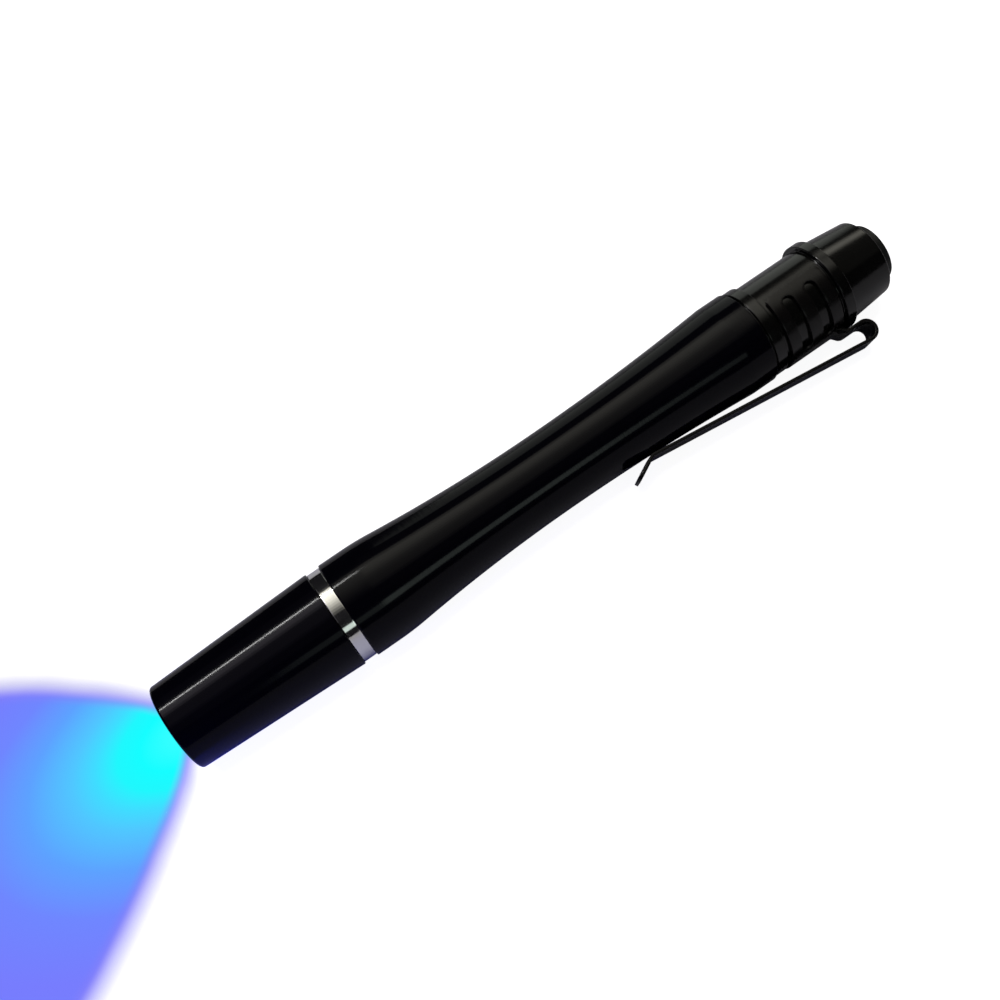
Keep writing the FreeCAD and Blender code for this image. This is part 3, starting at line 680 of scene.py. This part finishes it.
# ---------------------------------------------------------------- barrel
def make_barrel():
    land_end = (BARREL_START + LAND_LENGTH, LAND_R, 0)
    waist = (WAIST_X, WAIST_R, 0)
    rear = (BARREL_END - REAR_LAND_LENGTH, BARREL_REAR_R)
    # the rear flank's first arc only: it runs on straight to a soft crease
    flank = arc_points(waist, rear, 1 - SHOULDER_SHARE)[:ARC_PIECES]
    slope_x, slope_r = flank[-1][0] - flank[-2][0], flank[-1][1] - flank[-2][1]
    crease_x = flank[-1][0] + (BARREL_REAR_R - flank[-1][1]) * slope_x / slope_r
    outline = rounded([
        (BARREL_START, SPIGOT_BORE_R, 0.1), (BARREL_START, LAND_R, 0.16), land_end,
        *arc_points(land_end, waist, SHOULDER_SHARE),
        *flank,
        (crease_x, BARREL_REAR_R, CREASE_R),
        (BARREL_END, BARREL_REAR_R, 0.16), (BARREL_END, SPIGOT_BORE_R, 0.1),
        (BARREL_END - SPIGOT_POCKET, SPIGOT_BORE_R), (BARREL_END - SPIGOT_POCKET, BARREL_BORE_R),
        (BARREL_START + SPIGOT_POCKET, BARREL_BORE_R), (BARREL_START + SPIGOT_POCKET, SPIGOT_BORE_R),
    ])
    verts, faces = lathe(fine(outline))
    piece("barrel_skin", verts, faces, "black_anodised", "main_body", ["barrel"])


# ---------------------------------------------------------------- tail
def make_tail():
    spigot = BARREL_END - SPIGOT_LENGTH
    groove = spigot + GROOVE_INSET
    shoulder = BARREL_END + FACE_GAP
    start, end = groove + GROOVE_WIDTH + 0.25, BARREL_END - 0.2
    outline = rounded([
        (spigot, CELL_BORE_R), (spigot, SPIGOT_R, 0.25), (groove, SPIGOT_R, 0.08),
        (groove, GROOVE_BOTTOM_R, 0.05), (groove + GROOVE_WIDTH, GROOVE_BOTTOM_R, 0.05),
        (groove + GROOVE_WIDTH, SPIGOT_R, 0.08), (shoulder, SPIGOT_R, 0),
        (shoulder, GROOVE_R, 0.06), (RING_START, GROOVE_R, 0.06), (RING_START, RING_R, 0.16),
        (RING_END, RING_R, 0.16), (RING_END, NECK_R, 0.08), (FLANGE_START, NECK_R, 0.12),
        (FLANGE_START, FLANGE_R, 0.18), (FLANGE_END, FLANGE_R, 0.16),
        (FLANGE_END, CONE_START_R, 0.1), (CONE_END, CONE_END_R, 0.3),
        (CONE_END, BUTTON_HOLE_R, 0.1), (BOOT_SEAT_X, BUTTON_HOLE_R, 0.05),
        (BOOT_SEAT_X, CELL_BORE_R, 0.05),
    ])
    outline = thread_rows(fine(outline), start, end)
    verts, faces = lathe(outline, relief=thread(start, end))
    piece("tail_skin", verts, faces, "satin_anodised", "tail", ["tail_cap"])


def make_boot():
    """Rubber boot: clamped rim, thin skirt and domed crown in one moulding."""
    dome_sag = LENGTH - CROWN_RIM_X
    edge_r = CROWN_R - CROWN_EDGE
    dome_r = (edge_r ** 2 + dome_sag ** 2) / (2 * dome_sag)
    rim_start = WASHER_END + 2 * FACE_GAP
    rim_end = BOOT_SEAT_X - 2 * FACE_GAP
    crown = []
    for k in range(13):
        angle = math.radians(90 * k / 12)
        crown.append((CROWN_RIM_X - CROWN_EDGE + CROWN_EDGE * math.sin(angle),
                      edge_r + CROWN_EDGE * math.cos(angle)))
    for k in range(1, 17):
        r = edge_r * (1 - k / 16)
        crown.append((LENGTH - dome_r + math.sqrt(dome_r ** 2 - r ** 2), r))
    inside = rounded([
        (PLUNGER_END, 0), (PLUNGER_END, PAD_R), (CROWN_INNER_X, PAD_R),
        (CROWN_INNER_X, BOOT_BORE_R, 0.3), (127.9, BOOT_BORE_R, 0.2), (127.2, 4.5, 0.2),
        (rim_start, 4.8, 0.1), (rim_start, BOOT_RIM_R, 0.1), (rim_end, BOOT_RIM_R, 0.1),
        (rim_end, BUTTON_HOLE_R + FACE_GAP, 0.05), (CROWN_FOOT_X, CROWN_R, 0),
    ])
    verts, faces = lathe(fine(crown + inside, 0.4), 128)
    boot = add_mesh("boot_skin", verts, faces, MATERIALS["button_rubber"])
    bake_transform(boot)
    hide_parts("boot_flange", "button_crown")


# ---------------------------------------------------------------- clip
BAND_MID_R = BAND_INNER_R + CLIP_THICK / 2
HALF_WIDTH = CLIP_WIDTH / 2
NOTCH = 0.5              # relief slit on each side of the tongue, where it steps off the band
EDGE = 0.09              # rounding of the sheet's edges
CORNER_PIECES = 8        # facets round a corner of the sheet
GRID = 0.42              # spacing of the points inside the sheet
CLIP_CREASE = 38.0       # degrees between faces that meet in a sharp edge


def strip_path():
    """The clip's centreline from the step on, as (length, x, y, heading) at close intervals."""
    tilt = math.radians(STEP_ANGLE)
    slope = (ROOT_R - BAND_MID_R - 2 * STEP_BEND_R * (1 - math.cos(tilt))) / math.sin(tilt)
    stepped = 2 * STEP_BEND_R * math.sin(tilt) + slope * math.cos(tilt)
    moves = [(STEP_BEND_R, STEP_ANGLE), (slope, None), (STEP_BEND_R, -STEP_ANGLE),
             (BEND_X - STEP_START - stepped, None), (BEND_R, 180 + ARM_ANGLE), (ARM_RUN, None),
             (CONTACT_BEND_R, -(ARM_ANGLE + LIP_ANGLE)), (LIP_RUN, None)]
    s, x, y, heading = 0.0, STEP_START, BAND_MID_R, 0.0
    path = [(s, x, y, heading)]
    marks = []
    for size, bend in moves:
        if bend is None:
            pieces = max(2, math.ceil(size / 0.9))
            length = size
        else:
            pieces = max(6, math.ceil(abs(bend) / 6))
            length = size * math.radians(abs(bend))
        for k in range(pieces):
            part = length / pieces
            turn = 0.0 if bend is None else math.radians(bend) / pieces
            chord = part if bend is None else 2 * size * math.sin(abs(turn) / 2)
            x += chord * math.cos(heading + turn / 2)
            y += chord * math.sin(heading + turn / 2)
            heading += turn
            s += part
            path.append((s, x, y, heading))
        marks.append(s)
    return path, marks


PATH, MARKS = strip_path()
ROOT_END = MARKS[3]      # where the U bend starts
FLATTENED = 2.6          # length over which the tongue loses the band's curve


def along(s):
    """Place and heading on the clip's centreline. Lengths below zero lie on the level band."""
    if s <= 0:
        return STEP_START + s, BAND_MID_R, 0.0
    for near, far in zip(PATH, PATH[1:]):
        if s <= far[0] + 1e-9:
            t = (s - near[0]) / (far[0] - near[0])
            return between(near[1:], far[1:], t)
    return PATH[-1][1:]


def on_sheet(s, w, lift):
    """Place on the clip's sheet: s along it, w across it, lift out of its middle surface."""
    tongue = abs(w) <= HALF_WIDTH + NOTCH / 2
    x, y, heading = along(s) if tongue else (STEP_START + s, BAND_MID_R, 0.0)
    bow = 1.0 if s <= 0 or not tongue else max(0.0, 1 - s / FLATTENED)
    bow = bow * bow * (3 - 2 * bow) / BAND_MID_R
    if bow > 1e-6:
        across, sag = math.sin(bow * w) / bow, (1 - math.cos(bow * w)) / bow
    else:
        across, sag = w, 0.0
    out_y = math.cos(bow * w) * lift - sag
    out_z = math.sin(bow * w) * lift + across
    return (x - math.sin(heading) * out_y, y + math.cos(heading) * out_y, out_z)


def outline_loop(corners, inset):
    """Rounded polygon in the sheet's own plane, moved inwards by inset.

    Each corner is (s, w, radius); the loop keeps its number of points whatever the inset.
    """
    count = len(corners)
    area = sum(corners[i - 1][0] * corners[i][1] - corners[i][0] * corners[i - 1][1]
               for i in range(count))
    sense = 1 if area > 0 else -1
    loop = []
    for i, (s, w, radius) in enumerate(corners):
        here = Vector((s, w))
        before = (Vector(corners[i - 1][:2]) - here).normalized()
        after = (Vector(corners[(i + 1) % count][:2]) - here).normalized()
        cross = -before.x * after.y + before.y * after.x
        convex = cross * sense > 0
        corner = before.angle(after)
        inward = (before + after).normalized() * (1 if convex else -1)
        centre = here + (before + after).normalized() * radius / math.sin(corner / 2)
        turn = math.pi - corner
        size = max(radius - inset, 0.0) if convex else radius + inset
        first = Vector((before.y, -before.x))
        if first.dot(here - centre) < 0:
            first = -first
        direction = 1 if first.x * (here - centre).y - first.y * (here - centre).x > 0 else -1
        if radius <= 0:
            shift = inward * inset / math.sin(corner / 2)
            loop.append(tuple(here + shift))
            continue
        for k in range(CORNER_PIECES + 1):
            angle = direction * turn * k / CORNER_PIECES
            spoke = Vector((first.x * math.cos(angle) - first.y * math.sin(angle),
                            first.x * math.sin(angle) + first.y * math.cos(angle)))
            loop.append(tuple(centre + spoke * size))
    return loop


def split_loop(loop, other, longest=0.5):
    """Split the long sides of two matching loops at the same places."""
    first, second = [], []
    count = len(loop)
    for i in range(count):
        m = (i + 1) % count
        pieces = max(1, math.ceil(math.dist(loop[i], loop[m]) / longest))
        for k in range(pieces):
            first.append(between(loop[i], loop[m], k / pieces))
            second.append(between(other[i], other[m], k / pieces))
    return first, second


def inside(points, loops):
    """Even-odd test of many points against many loops."""
    found = np.zeros(len(points), bool)
    px, py = points[:, 0], points[:, 1]
    for loop in loops:
        for a, b in zip(loop, loop[1:] + loop[:1]):
            if a[1] == b[1]:
                continue
            crosses = (a[1] > py) != (b[1] > py)
            at = (b[0] - a[0]) * (py - a[1]) / (b[1] - a[1]) + a[0]
            found ^= crosses & (px < at)
    return found


def make_clip_band():
    """Slotted band with the tongue that steps off it, as one sheet of even thickness."""
    reach = math.radians(BAND_HALF_ANGLE) * BAND_MID_R
    start, end = BAND_START - STEP_START, BAND_END - STEP_START
    slit = HALF_WIDTH + NOTCH
    outer = [
        (start, -reach, BAND_CORNER), (end, -reach, BAND_CORNER), (end, -slit, 0.2), (0.05, -slit, 0.2),
        (0.05, -HALF_WIDTH, 0.2), (ROOT_END, -HALF_WIDTH, 0), (ROOT_END, HALF_WIDTH, 0),
        (0.05, HALF_WIDTH, 0.2), (0.05, slit, 0.2), (end, slit, 0.2), (end, reach, BAND_CORNER),
        (start, reach, BAND_CORNER),
    ]
    shapes = [(outer, EDGE)]
    half = SLOT_WIDTH / 2
    for side in (1, -1):
        for centre in SLOT_CENTRES:
            near = side * math.radians(SLOT_FROM) * BAND_MID_R - side * half
            far = side * math.radians(SLOT_TO) * BAND_MID_R + side * half
            s = centre - STEP_START
            shapes.append(([(s - half, near, half * 0.98), (s + half, near, half * 0.98),
                            (s + half, far, half * 0.98), (s - half, far, half * 0.98)], -EDGE))
    rims, walls = [], []
    for corners, inset in shapes:
        wall, rim = split_loop(outline_loop(corners, 0), outline_loop(corners, inset))
        walls.append(wall)
        rims.append(rim)
    # the end where the U bend takes over stays full width and square
    for k, point in enumerate(rims[0]):
        if walls[0][k][0] > ROOT_END - 1e-6:
            rims[0][k] = (ROOT_END, point[1])
    flat = [Vector(p) for rim in rims for p in rim]
    edges = []
    base = 0
    for rim in rims:
        edges += [(base + k, base + (k + 1) % len(rim)) for k in range(len(rim))]
        base += len(rim)
    grid_s = np.arange(start + 0.3, ROOT_END, GRID)
    grid_w = np.arange(-reach + 0.3, reach, GRID)
    grid = np.array([(s, w) for s in grid_s for w in grid_w])
    grid = grid[inside(grid, rims)]
    border = np.array([p for rim in rims for p in rim])
    clear = np.array([np.min(np.hypot(*(border - g).T)) > 0.2 for g in grid])
    flat += [Vector(p) for p in grid[clear]]
    result = delaunay_2d_cdt(flat, edges, [], 0, 1e-6)
    points = np.array([tuple(p) for p in result[0]])
    came_from = {old: new for new, olds in enumerate(result[3]) for old in olds}
    triangles = [tuple(f) for f in result[2]]
    centres = np.array([points[list(f)].mean(0) for f in triangles])
    keep = inside(centres, rims)
    triangles = [f for f, k in zip(triangles, keep) if k]
    half_thick = CLIP_THICK / 2
    count = len(points)
    verts = [on_sheet(s, w, half_thick) for s, w in points]
    verts += [on_sheet(s, w, -half_thick) for s, w in points]
    faces = triangles + [tuple(count + k for k in f) for f in triangles]
    base = 0
    for wall, rim in zip(walls, rims):
        border_line = [came_from[base + k] for k in range(len(rim))]
        base += len(rim)
        levels = [border_line]
        for face, part in ((1, 0.35), (1, 0.75), (1, 1.0), (-1, 1.0), (-1, 0.75), (-1, 0.35)):
            ring = []
            lift = face * (half_thick - EDGE * (1 - math.sqrt(1 - part ** 2)))
            for at_wall, at_rim in zip(wall, rim):
                ring.append(len(verts))
                verts.append(on_sheet(*between(at_rim, at_wall, part), lift))
            levels.append(ring)
        levels.append([count + k for k in border_line])
        faces += ring_faces(levels, capped=False)
    piece("clip_sheet", verts, faces, "clip_black", "clip", ["clip_band"], crease=CLIP_CREASE)


def make_clip_spring():
    """U bend, arm, contact bend and lip, from where the U bend leaves the root."""
    end = MARKS[-1]
    places = [s for s, *_ in PATH if s >= ROOT_END - 1e-9]
    places[0] = ROOT_END
    extra = [end - TIP_CORNER * (1 - math.sin(math.radians(a))) for a in range(0, 91, 9)]
    places = sorted(set(round(s, 6) for s in places + extra))
    verts = []
    rings = []
    for s in places:
        half_width = HALF_WIDTH
        past = s - (end - TIP_CORNER)
        if past > 0:
            half_width = HALF_WIDTH - TIP_CORNER + math.sqrt(max(TIP_CORNER ** 2 - past ** 2, 0.0))
        ring = []
        for w, lift in rounded_rectangle(half_width, CLIP_THICK / 2, EDGE):
            ring.append(len(verts))
            verts.append(on_sheet(s, w, lift))
        rings.append(ring)
    arm = add_mesh("clip_arm_skin", verts, ring_faces(rings), MATERIALS["clip_black"], CLIP_CREASE)
    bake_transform(arm)
    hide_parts("clip_arm")


make_head()
make_trim_ring()
make_optics()
make_led()
make_barrel()
make_tail()
make_boot()
make_clip_band()
make_clip_spring()
make_spring("front_spring_wire", DRIVER_END, CELL_START, coil_r=1.4, wire_r=0.25, turns=2.0,
            slot="contact_brass", body="head", replaced="front_spring")
make_spring("battery_spring_wire", CELLS_END, SPRING_SEAT_X, coil_r=3.7, wire_r=0.3, turns=3.5,
            slot="contact_steel", body="tail", replaced="battery_spring")


# ---------------------------------------------------------------- floor with the lamp's pool of light painted on it
POOL_SPREAD = 2.62       # half width of the light, 1 mm ahead of the rim
POOL_POWER = 0.72        # how it widens farther ahead
POOL_SIDE = 4.65         # its middle, off the lamp's axis
POOL_DRIFT = 0.03
POOL_REACH = 48.0        # distance over which it turns from cyan to violet
PAPER_GLOW = 0.93        # how far the paper outshines what the lamp's reflections show of it
FLOOR_HALF = 3.0         # metres
FLOOR_DROP = 0.03 * MM   # just clear of the lamp


def make_floor():
    # No light casts the lamp's beam: its pool of light is painted on the floor as glowing colour.
    made, tree, shader = start_material("floor", (0.82, 0.82, 0.82), 0.0, 0.6,
                                        Specular_IOR_Level=0.0)
    coords = node(tree, "TexCoord").outputs["Object"]
    mapped = node(tree, "Mapping", Vector=coords, Scale=(1000.0, 1000.0, 1000.0)).outputs[0]
    parts = node(tree, "SeparateXYZ", Vector=mapped).outputs
    ahead = maths(tree, "SUBTRACT", -LENGTH / 2, parts[0])
    centre = maths(tree, "ADD", maths(tree, "MULTIPLY", ahead, POOL_DRIFT), AXIS_Y + POOL_SIDE)
    ahead_only = maths(tree, "MAXIMUM", ahead, 0.0)
    aside = maths(tree, "ABSOLUTE", maths(tree, "SUBTRACT", parts[1], centre))
    mottle = noise(tree, mapped, 0.045, 3.0)
    # distance past the painted pool's edge, which bellies out from the rim
    width = maths(tree, "MULTIPLY", maths(tree, "POWER", ahead_only, POOL_POWER), POOL_SPREAD)
    # the far side starts wider, level with the top of the rim
    far_side = ramp(tree, maths(tree, "SUBTRACT", parts[1], centre), -1.0, 1.0, 0.0, 1.8)
    near_rim = maths(tree, "MULTIPLY", ramp(tree, ahead, 0.0, 3.0),
                     ramp(tree, ahead, 16.0, 45.0, 1.0, 0.0))
    width = maths(tree, "ADD", width, maths(tree, "MULTIPLY", far_side, near_rim))
    past = maths(tree, "SUBTRACT", aside, width)
    past = maths(tree, "ADD", past, maths(tree, "MULTIPLY", maths(tree, "SUBTRACT", mottle, 0.5), 2.0))
    # how far each point lies inside the painted pool of light
    lit = ramp(tree, past, -1.8, 4.2, 1.0, 0.0)
    lit = maths(tree, "MULTIPLY", lit, ramp(tree, ahead, -3.0, 0.5))
    lit = maths(tree, "MULTIPLY", lit, ramp(tree, ahead, 45.0, 260.0, 1.0, 0.0))
    # painted pool of light: cyan-white by the rim, violet-blue farther out
    squeeze = maths(tree, "MULTIPLY", aside, 1.45)
    reach = maths(tree, "SQRT", maths(tree, "ADD", maths(tree, "MULTIPLY", ahead, ahead),
                                      maths(tree, "MULTIPLY", squeeze, squeeze)))
    colours = node(tree, "ValToRGB", Fac=maths(tree, "DIVIDE", reach, POOL_REACH))
    stops = colours.color_ramp
    wanted = [(0.0, (0.05, 1.0, 1.0)), (0.18, (0.008, 0.98, 1.0)), (0.26, (0.014, 0.93, 0.98)),
              (0.34, (0.05, 0.72, 1.0)), (0.42, (0.08, 0.57, 1.0)), (0.58, (0.11, 0.36, 1.0)),
              (0.76, (0.16, 0.24, 1.0)), (1.0, (0.185, 0.205, 0.99))]
    while len(stops.elements) < len(wanted):
        stops.elements.new(0.5)
    for element, (at, colour) in zip(stops.elements, wanted):
        element.position = at
        element.color = (*colour, 1.0)
    painted_pool_colour = mix_colour(tree, ramp(tree, past, -3.5, 0.5), colours.outputs[0], (0.24, 0.22, 0.95, 1))
    dust = noise(tree, mapped, 0.8, 5.0)
    paper = mix_colour(tree, dust, (0.82, 0.8, 0.825, 1), (0.86, 0.84, 0.862, 1))
    # inside the painted pool the paper turns black, so that only the painted glow shows there
    plug(tree, shader, Base_Color=mix_colour(tree, lit, paper, (0.0, 0.0, 0.0, 1)))
    # the paper is brighter to the eye than in the lamp's own reflections
    seen = node(tree, "LightPath").outputs["Is Camera Ray"]
    unlit = maths(tree, "MULTIPLY", maths(tree, "SUBTRACT", 1.0, lit), seen)
    # painted shade: a soft grey border just outside the painted pool of light, where the paper's glow is
    # dimmed
    painted_shade_border = maths(tree, "MULTIPLY", ramp(tree, past, 0.5, 7.0, 0.5, 0.0), ramp(tree, ahead, -0.5, 4.0))
    unlit = maths(tree, "MULTIPLY", unlit, maths(tree, "SUBTRACT", 1.0, painted_shade_border))
    glow = maths(tree, "ADD", maths(tree, "MULTIPLY", unlit, PAPER_GLOW), lit)
    # the painted pool glows in its cyan-to-violet colours, the paper elsewhere in white
    plug(tree, shader, Emission_Color=mix_colour(tree, lit, (1.0, 1.0, 1.0, 1), painted_pool_colour))
    plug(tree, shader, Emission_Strength=glow)
    mesh = bpy.data.meshes.new("floor")
    mesh.from_pydata([(-FLOOR_HALF, -FLOOR_HALF, 0), (FLOOR_HALF, -FLOOR_HALF, 0),
                      (FLOOR_HALF, FLOOR_HALF, 0), (-FLOOR_HALF, FLOOR_HALF, 0)], [], [(0, 1, 2, 3)])
    mesh.materials.append(made)
    floor = new_object("floor", mesh)
    floor.location.z = -FLOOR_DROP


make_floor()


# ---------------------------------------------------------------- lights and camera
def add_light(name, length, width, power, colour, stand, glossy=True, diffuse=True):
    """Rectangle that the camera doesn't see. stand is the matrix of its place and turn."""
    light = bpy.data.lights.new(name, "AREA")
    light.shape = "RECTANGLE"
    light.size = length
    light.size_y = width
    light.energy = power
    light.color = colour
    obj = new_object(name, light)
    obj.matrix_world = stand
    obj.visible_camera = False
    obj.visible_glossy = glossy
    obj.visible_diffuse = diffuse


def area_light(name, elevation, distance, x, length, width, radiance, colour, **seen):
    """Rectangle facing the lamp's axis.

    elevation turns round the axis from the clip's side, over the top; length lies along the lamp.
    """
    angle = math.radians(elevation)
    outward = Vector((0, -math.cos(angle), math.sin(angle)))
    place = Vector((x, AXIS_Y * MM, AXIS_Z * MM)) + outward * distance
    side = Vector((1, 0, 0))
    turn = Matrix((side, outward.cross(side), outward)).transposed().to_4x4()
    add_light(name, length, width, radiance * 4 * length * width, colour,
              Matrix.Translation(place) @ turn, **seen)


def panel(name, low, high, distance, x, length, radiance, colour):
    """Soft panel that fills the directions from low to high, seen from the lamp."""
    width = 2 * distance * math.tan(math.radians(high - low) / 2)
    area_light(name, (low + high) / 2, distance, x, length, width, radiance, colour, diffuse=False)


# Radiance of the ceiling by the direction, in degrees, that it is seen in from the lamp. Each
# section along the lamp has its own.
def smooth(value, low, high):
    t = min(max((value - low) / (high - low), 0.0), 1.0)
    return t * t * (3 - 2 * t)


def over_head(angle):
    lit = 0.2 * smooth(angle, 56, 70) + 1.6 * smooth(angle, 86, 102)
    return 0.045 + lit * (1 - smooth(angle, 109, 117))


def over_ring(angle):
    return 0.88 * smooth(angle, 52, 106) ** 1.3 * (1 - smooth(angle, 114, 124))


def over_barrel(angle):
    glow = 1.75 * smooth(angle, 68, 110) ** 1.3
    low_band = 0.32 * smooth(angle, 58, 68) * (1 - smooth(angle, 74, 92))
    return 0.02 + (glow + low_band) * (1 - smooth(angle, 112, 123))


def over_tail(angle):
    glow = smooth(angle, 64, 84) * (1 - 0.5 * smooth(angle, 90, 106))
    return glow * (1 - smooth(angle, 116, 126))


def over_cone(angle):
    return 0.05 + 1.7 * smooth(angle, 107, 116) * (1 - smooth(angle, 124, 134))


WARM = (1.0, 0.97, 0.85)
LILAC = (0.96, 0.9, 1.0)


# a bright ceiling that fades towards the front of the room, in narrow strips over each section
STRIP = 6.0
FIRST_STRIP = 42.0
STRIPS = 16
FAINT = 0.015            # strips dimmer than this are left out
ROOM = 0.7               # metres from the lamp to a panel
CEILING = (("head", over_head, -0.455, -0.075, LILAC), ("ring", over_ring, -0.075, -0.006, WARM),
           ("barrel", over_barrel, -0.006, 0.325, WARM), ("tail", over_tail, 0.325, 0.42, WARM),
           ("cone", over_cone, 0.42, 0.9, WARM))
for above, radiance_at, near, far, colour in CEILING:
    for k in range(STRIPS):
        low = FIRST_STRIP + STRIP * k
        radiance = radiance_at(low + STRIP / 2)
        if radiance > FAINT:
            panel("ceiling_%s_%d" % (above, k), low, low + STRIP, ROOM, (near + far) / 2, far - near,
                  radiance, colour)
GREENISH = (0.86, 1.0, 0.92)
OLIVE = (0.95, 1.0, 0.92)
panel("window_head", 15, 27, ROOM, -0.105, 0.09, 0.5, GREENISH)
panel("window_ring", 15, 26, ROOM, -0.03, 0.06, 0.6, GREENISH)
panel("window_front", 16, 28, ROOM, 0.075, 0.15, 1.7, GREENISH)
panel("window_middle", 16, 26, ROOM, 0.185, 0.07, 0.5, GREENISH)
panel("window_rear", 16, 26, ROOM, 0.245, 0.05, 0.07, GREENISH)
panel("back_barrel", 142, 178, ROOM, 0.21, 0.23, 0.5, OLIVE)
panel("back_tail", 142, 178, ROOM, 0.435, 0.22, 0.6, OLIVE)
panel("tube", 110.2, 111.6, 0.6, -0.16, 0.27, 62.0, (1.0, 1.0, 0.98))
area_light("key", 100, 1.6, 0.0, 1.4, 1.4, 1.4, (1.0, 1.0, 1.0), glossy=False)
area_light("fill", 60, 1.8, 0.0, 2.0, 2.0, 0.16, (0.98, 0.98, 1.0), glossy=False)


def spill_light(name, place, aim, size, power):
    """Violet light that the pool throws back on the head.

    place and aim are in metres from the centre of the rim; power is in watts.
    """
    turn = (Vector(aim) - Vector(place)).to_track_quat("-Z", "Y").to_matrix().to_4x4()
    stand = Matrix.Translation(row(0.0) + Vector(place)) @ turn
    add_light(name, size, size, power, (0.02, 0.04, 1.0), stand, glossy=False)


spill_light("spill_rim", (-0.005, -0.014, -0.002), (0.004, -0.007, -0.003), 0.01, 0.002)
spill_light("spill_head", (-0.04, -0.03, 0.037), (0.0, 0.0, 0.0), 0.02, 0.011)

world = bpy.data.worlds.new("studio")
bpy.context.scene.world = world
world.use_nodes = True
sky = world.node_tree
dim = sky.nodes["Background"]
dim.inputs["Color"].default_value = (0.9, 0.88, 1.0, 1)
dim.inputs["Strength"].default_value = 0.01
pale = node(sky, "Background", Color=(0.9, 0.9, 0.9, 1), Strength=1.0)
seen = node(sky, "LightPath").outputs["Is Camera Ray"]
both = node(sky, "MixShader", i0=seen, i1=dim.outputs[0], i2=pale.outputs[0])
sky.links.new(both.outputs[0], sky.nodes["World Output"].inputs["Surface"])

bpy.context.scene.view_settings.view_transform = "Standard"

CAMERA_AT = Vector((-0.033855, AXIS_Y * MM - 0.114057, 0.155217))
CAMERA_AIM = Vector((-0.007325, AXIS_Y * MM + 0.000628, 0.008567))
CAMERA_ROLL = -24.17
forward = (CAMERA_AIM - CAMERA_AT).normalized()
level = forward.cross(Vector((0, 0, 1))).normalized()
upright = level.cross(forward)
roll = math.radians(CAMERA_ROLL)
right = level * math.cos(roll) + upright * math.sin(roll)
up = right.cross(forward)
lens = bpy.data.cameras.new("camera")
lens.lens = 44.07
lens.sensor_width = 36.0
lens.clip_start = 0.005
camera = new_object("camera", lens)
camera.matrix_world = Matrix.Translation(CAMERA_AT) @ Matrix((right, up, -forward)).transposed().to_4x4()
bpy.context.scene.camera = camera
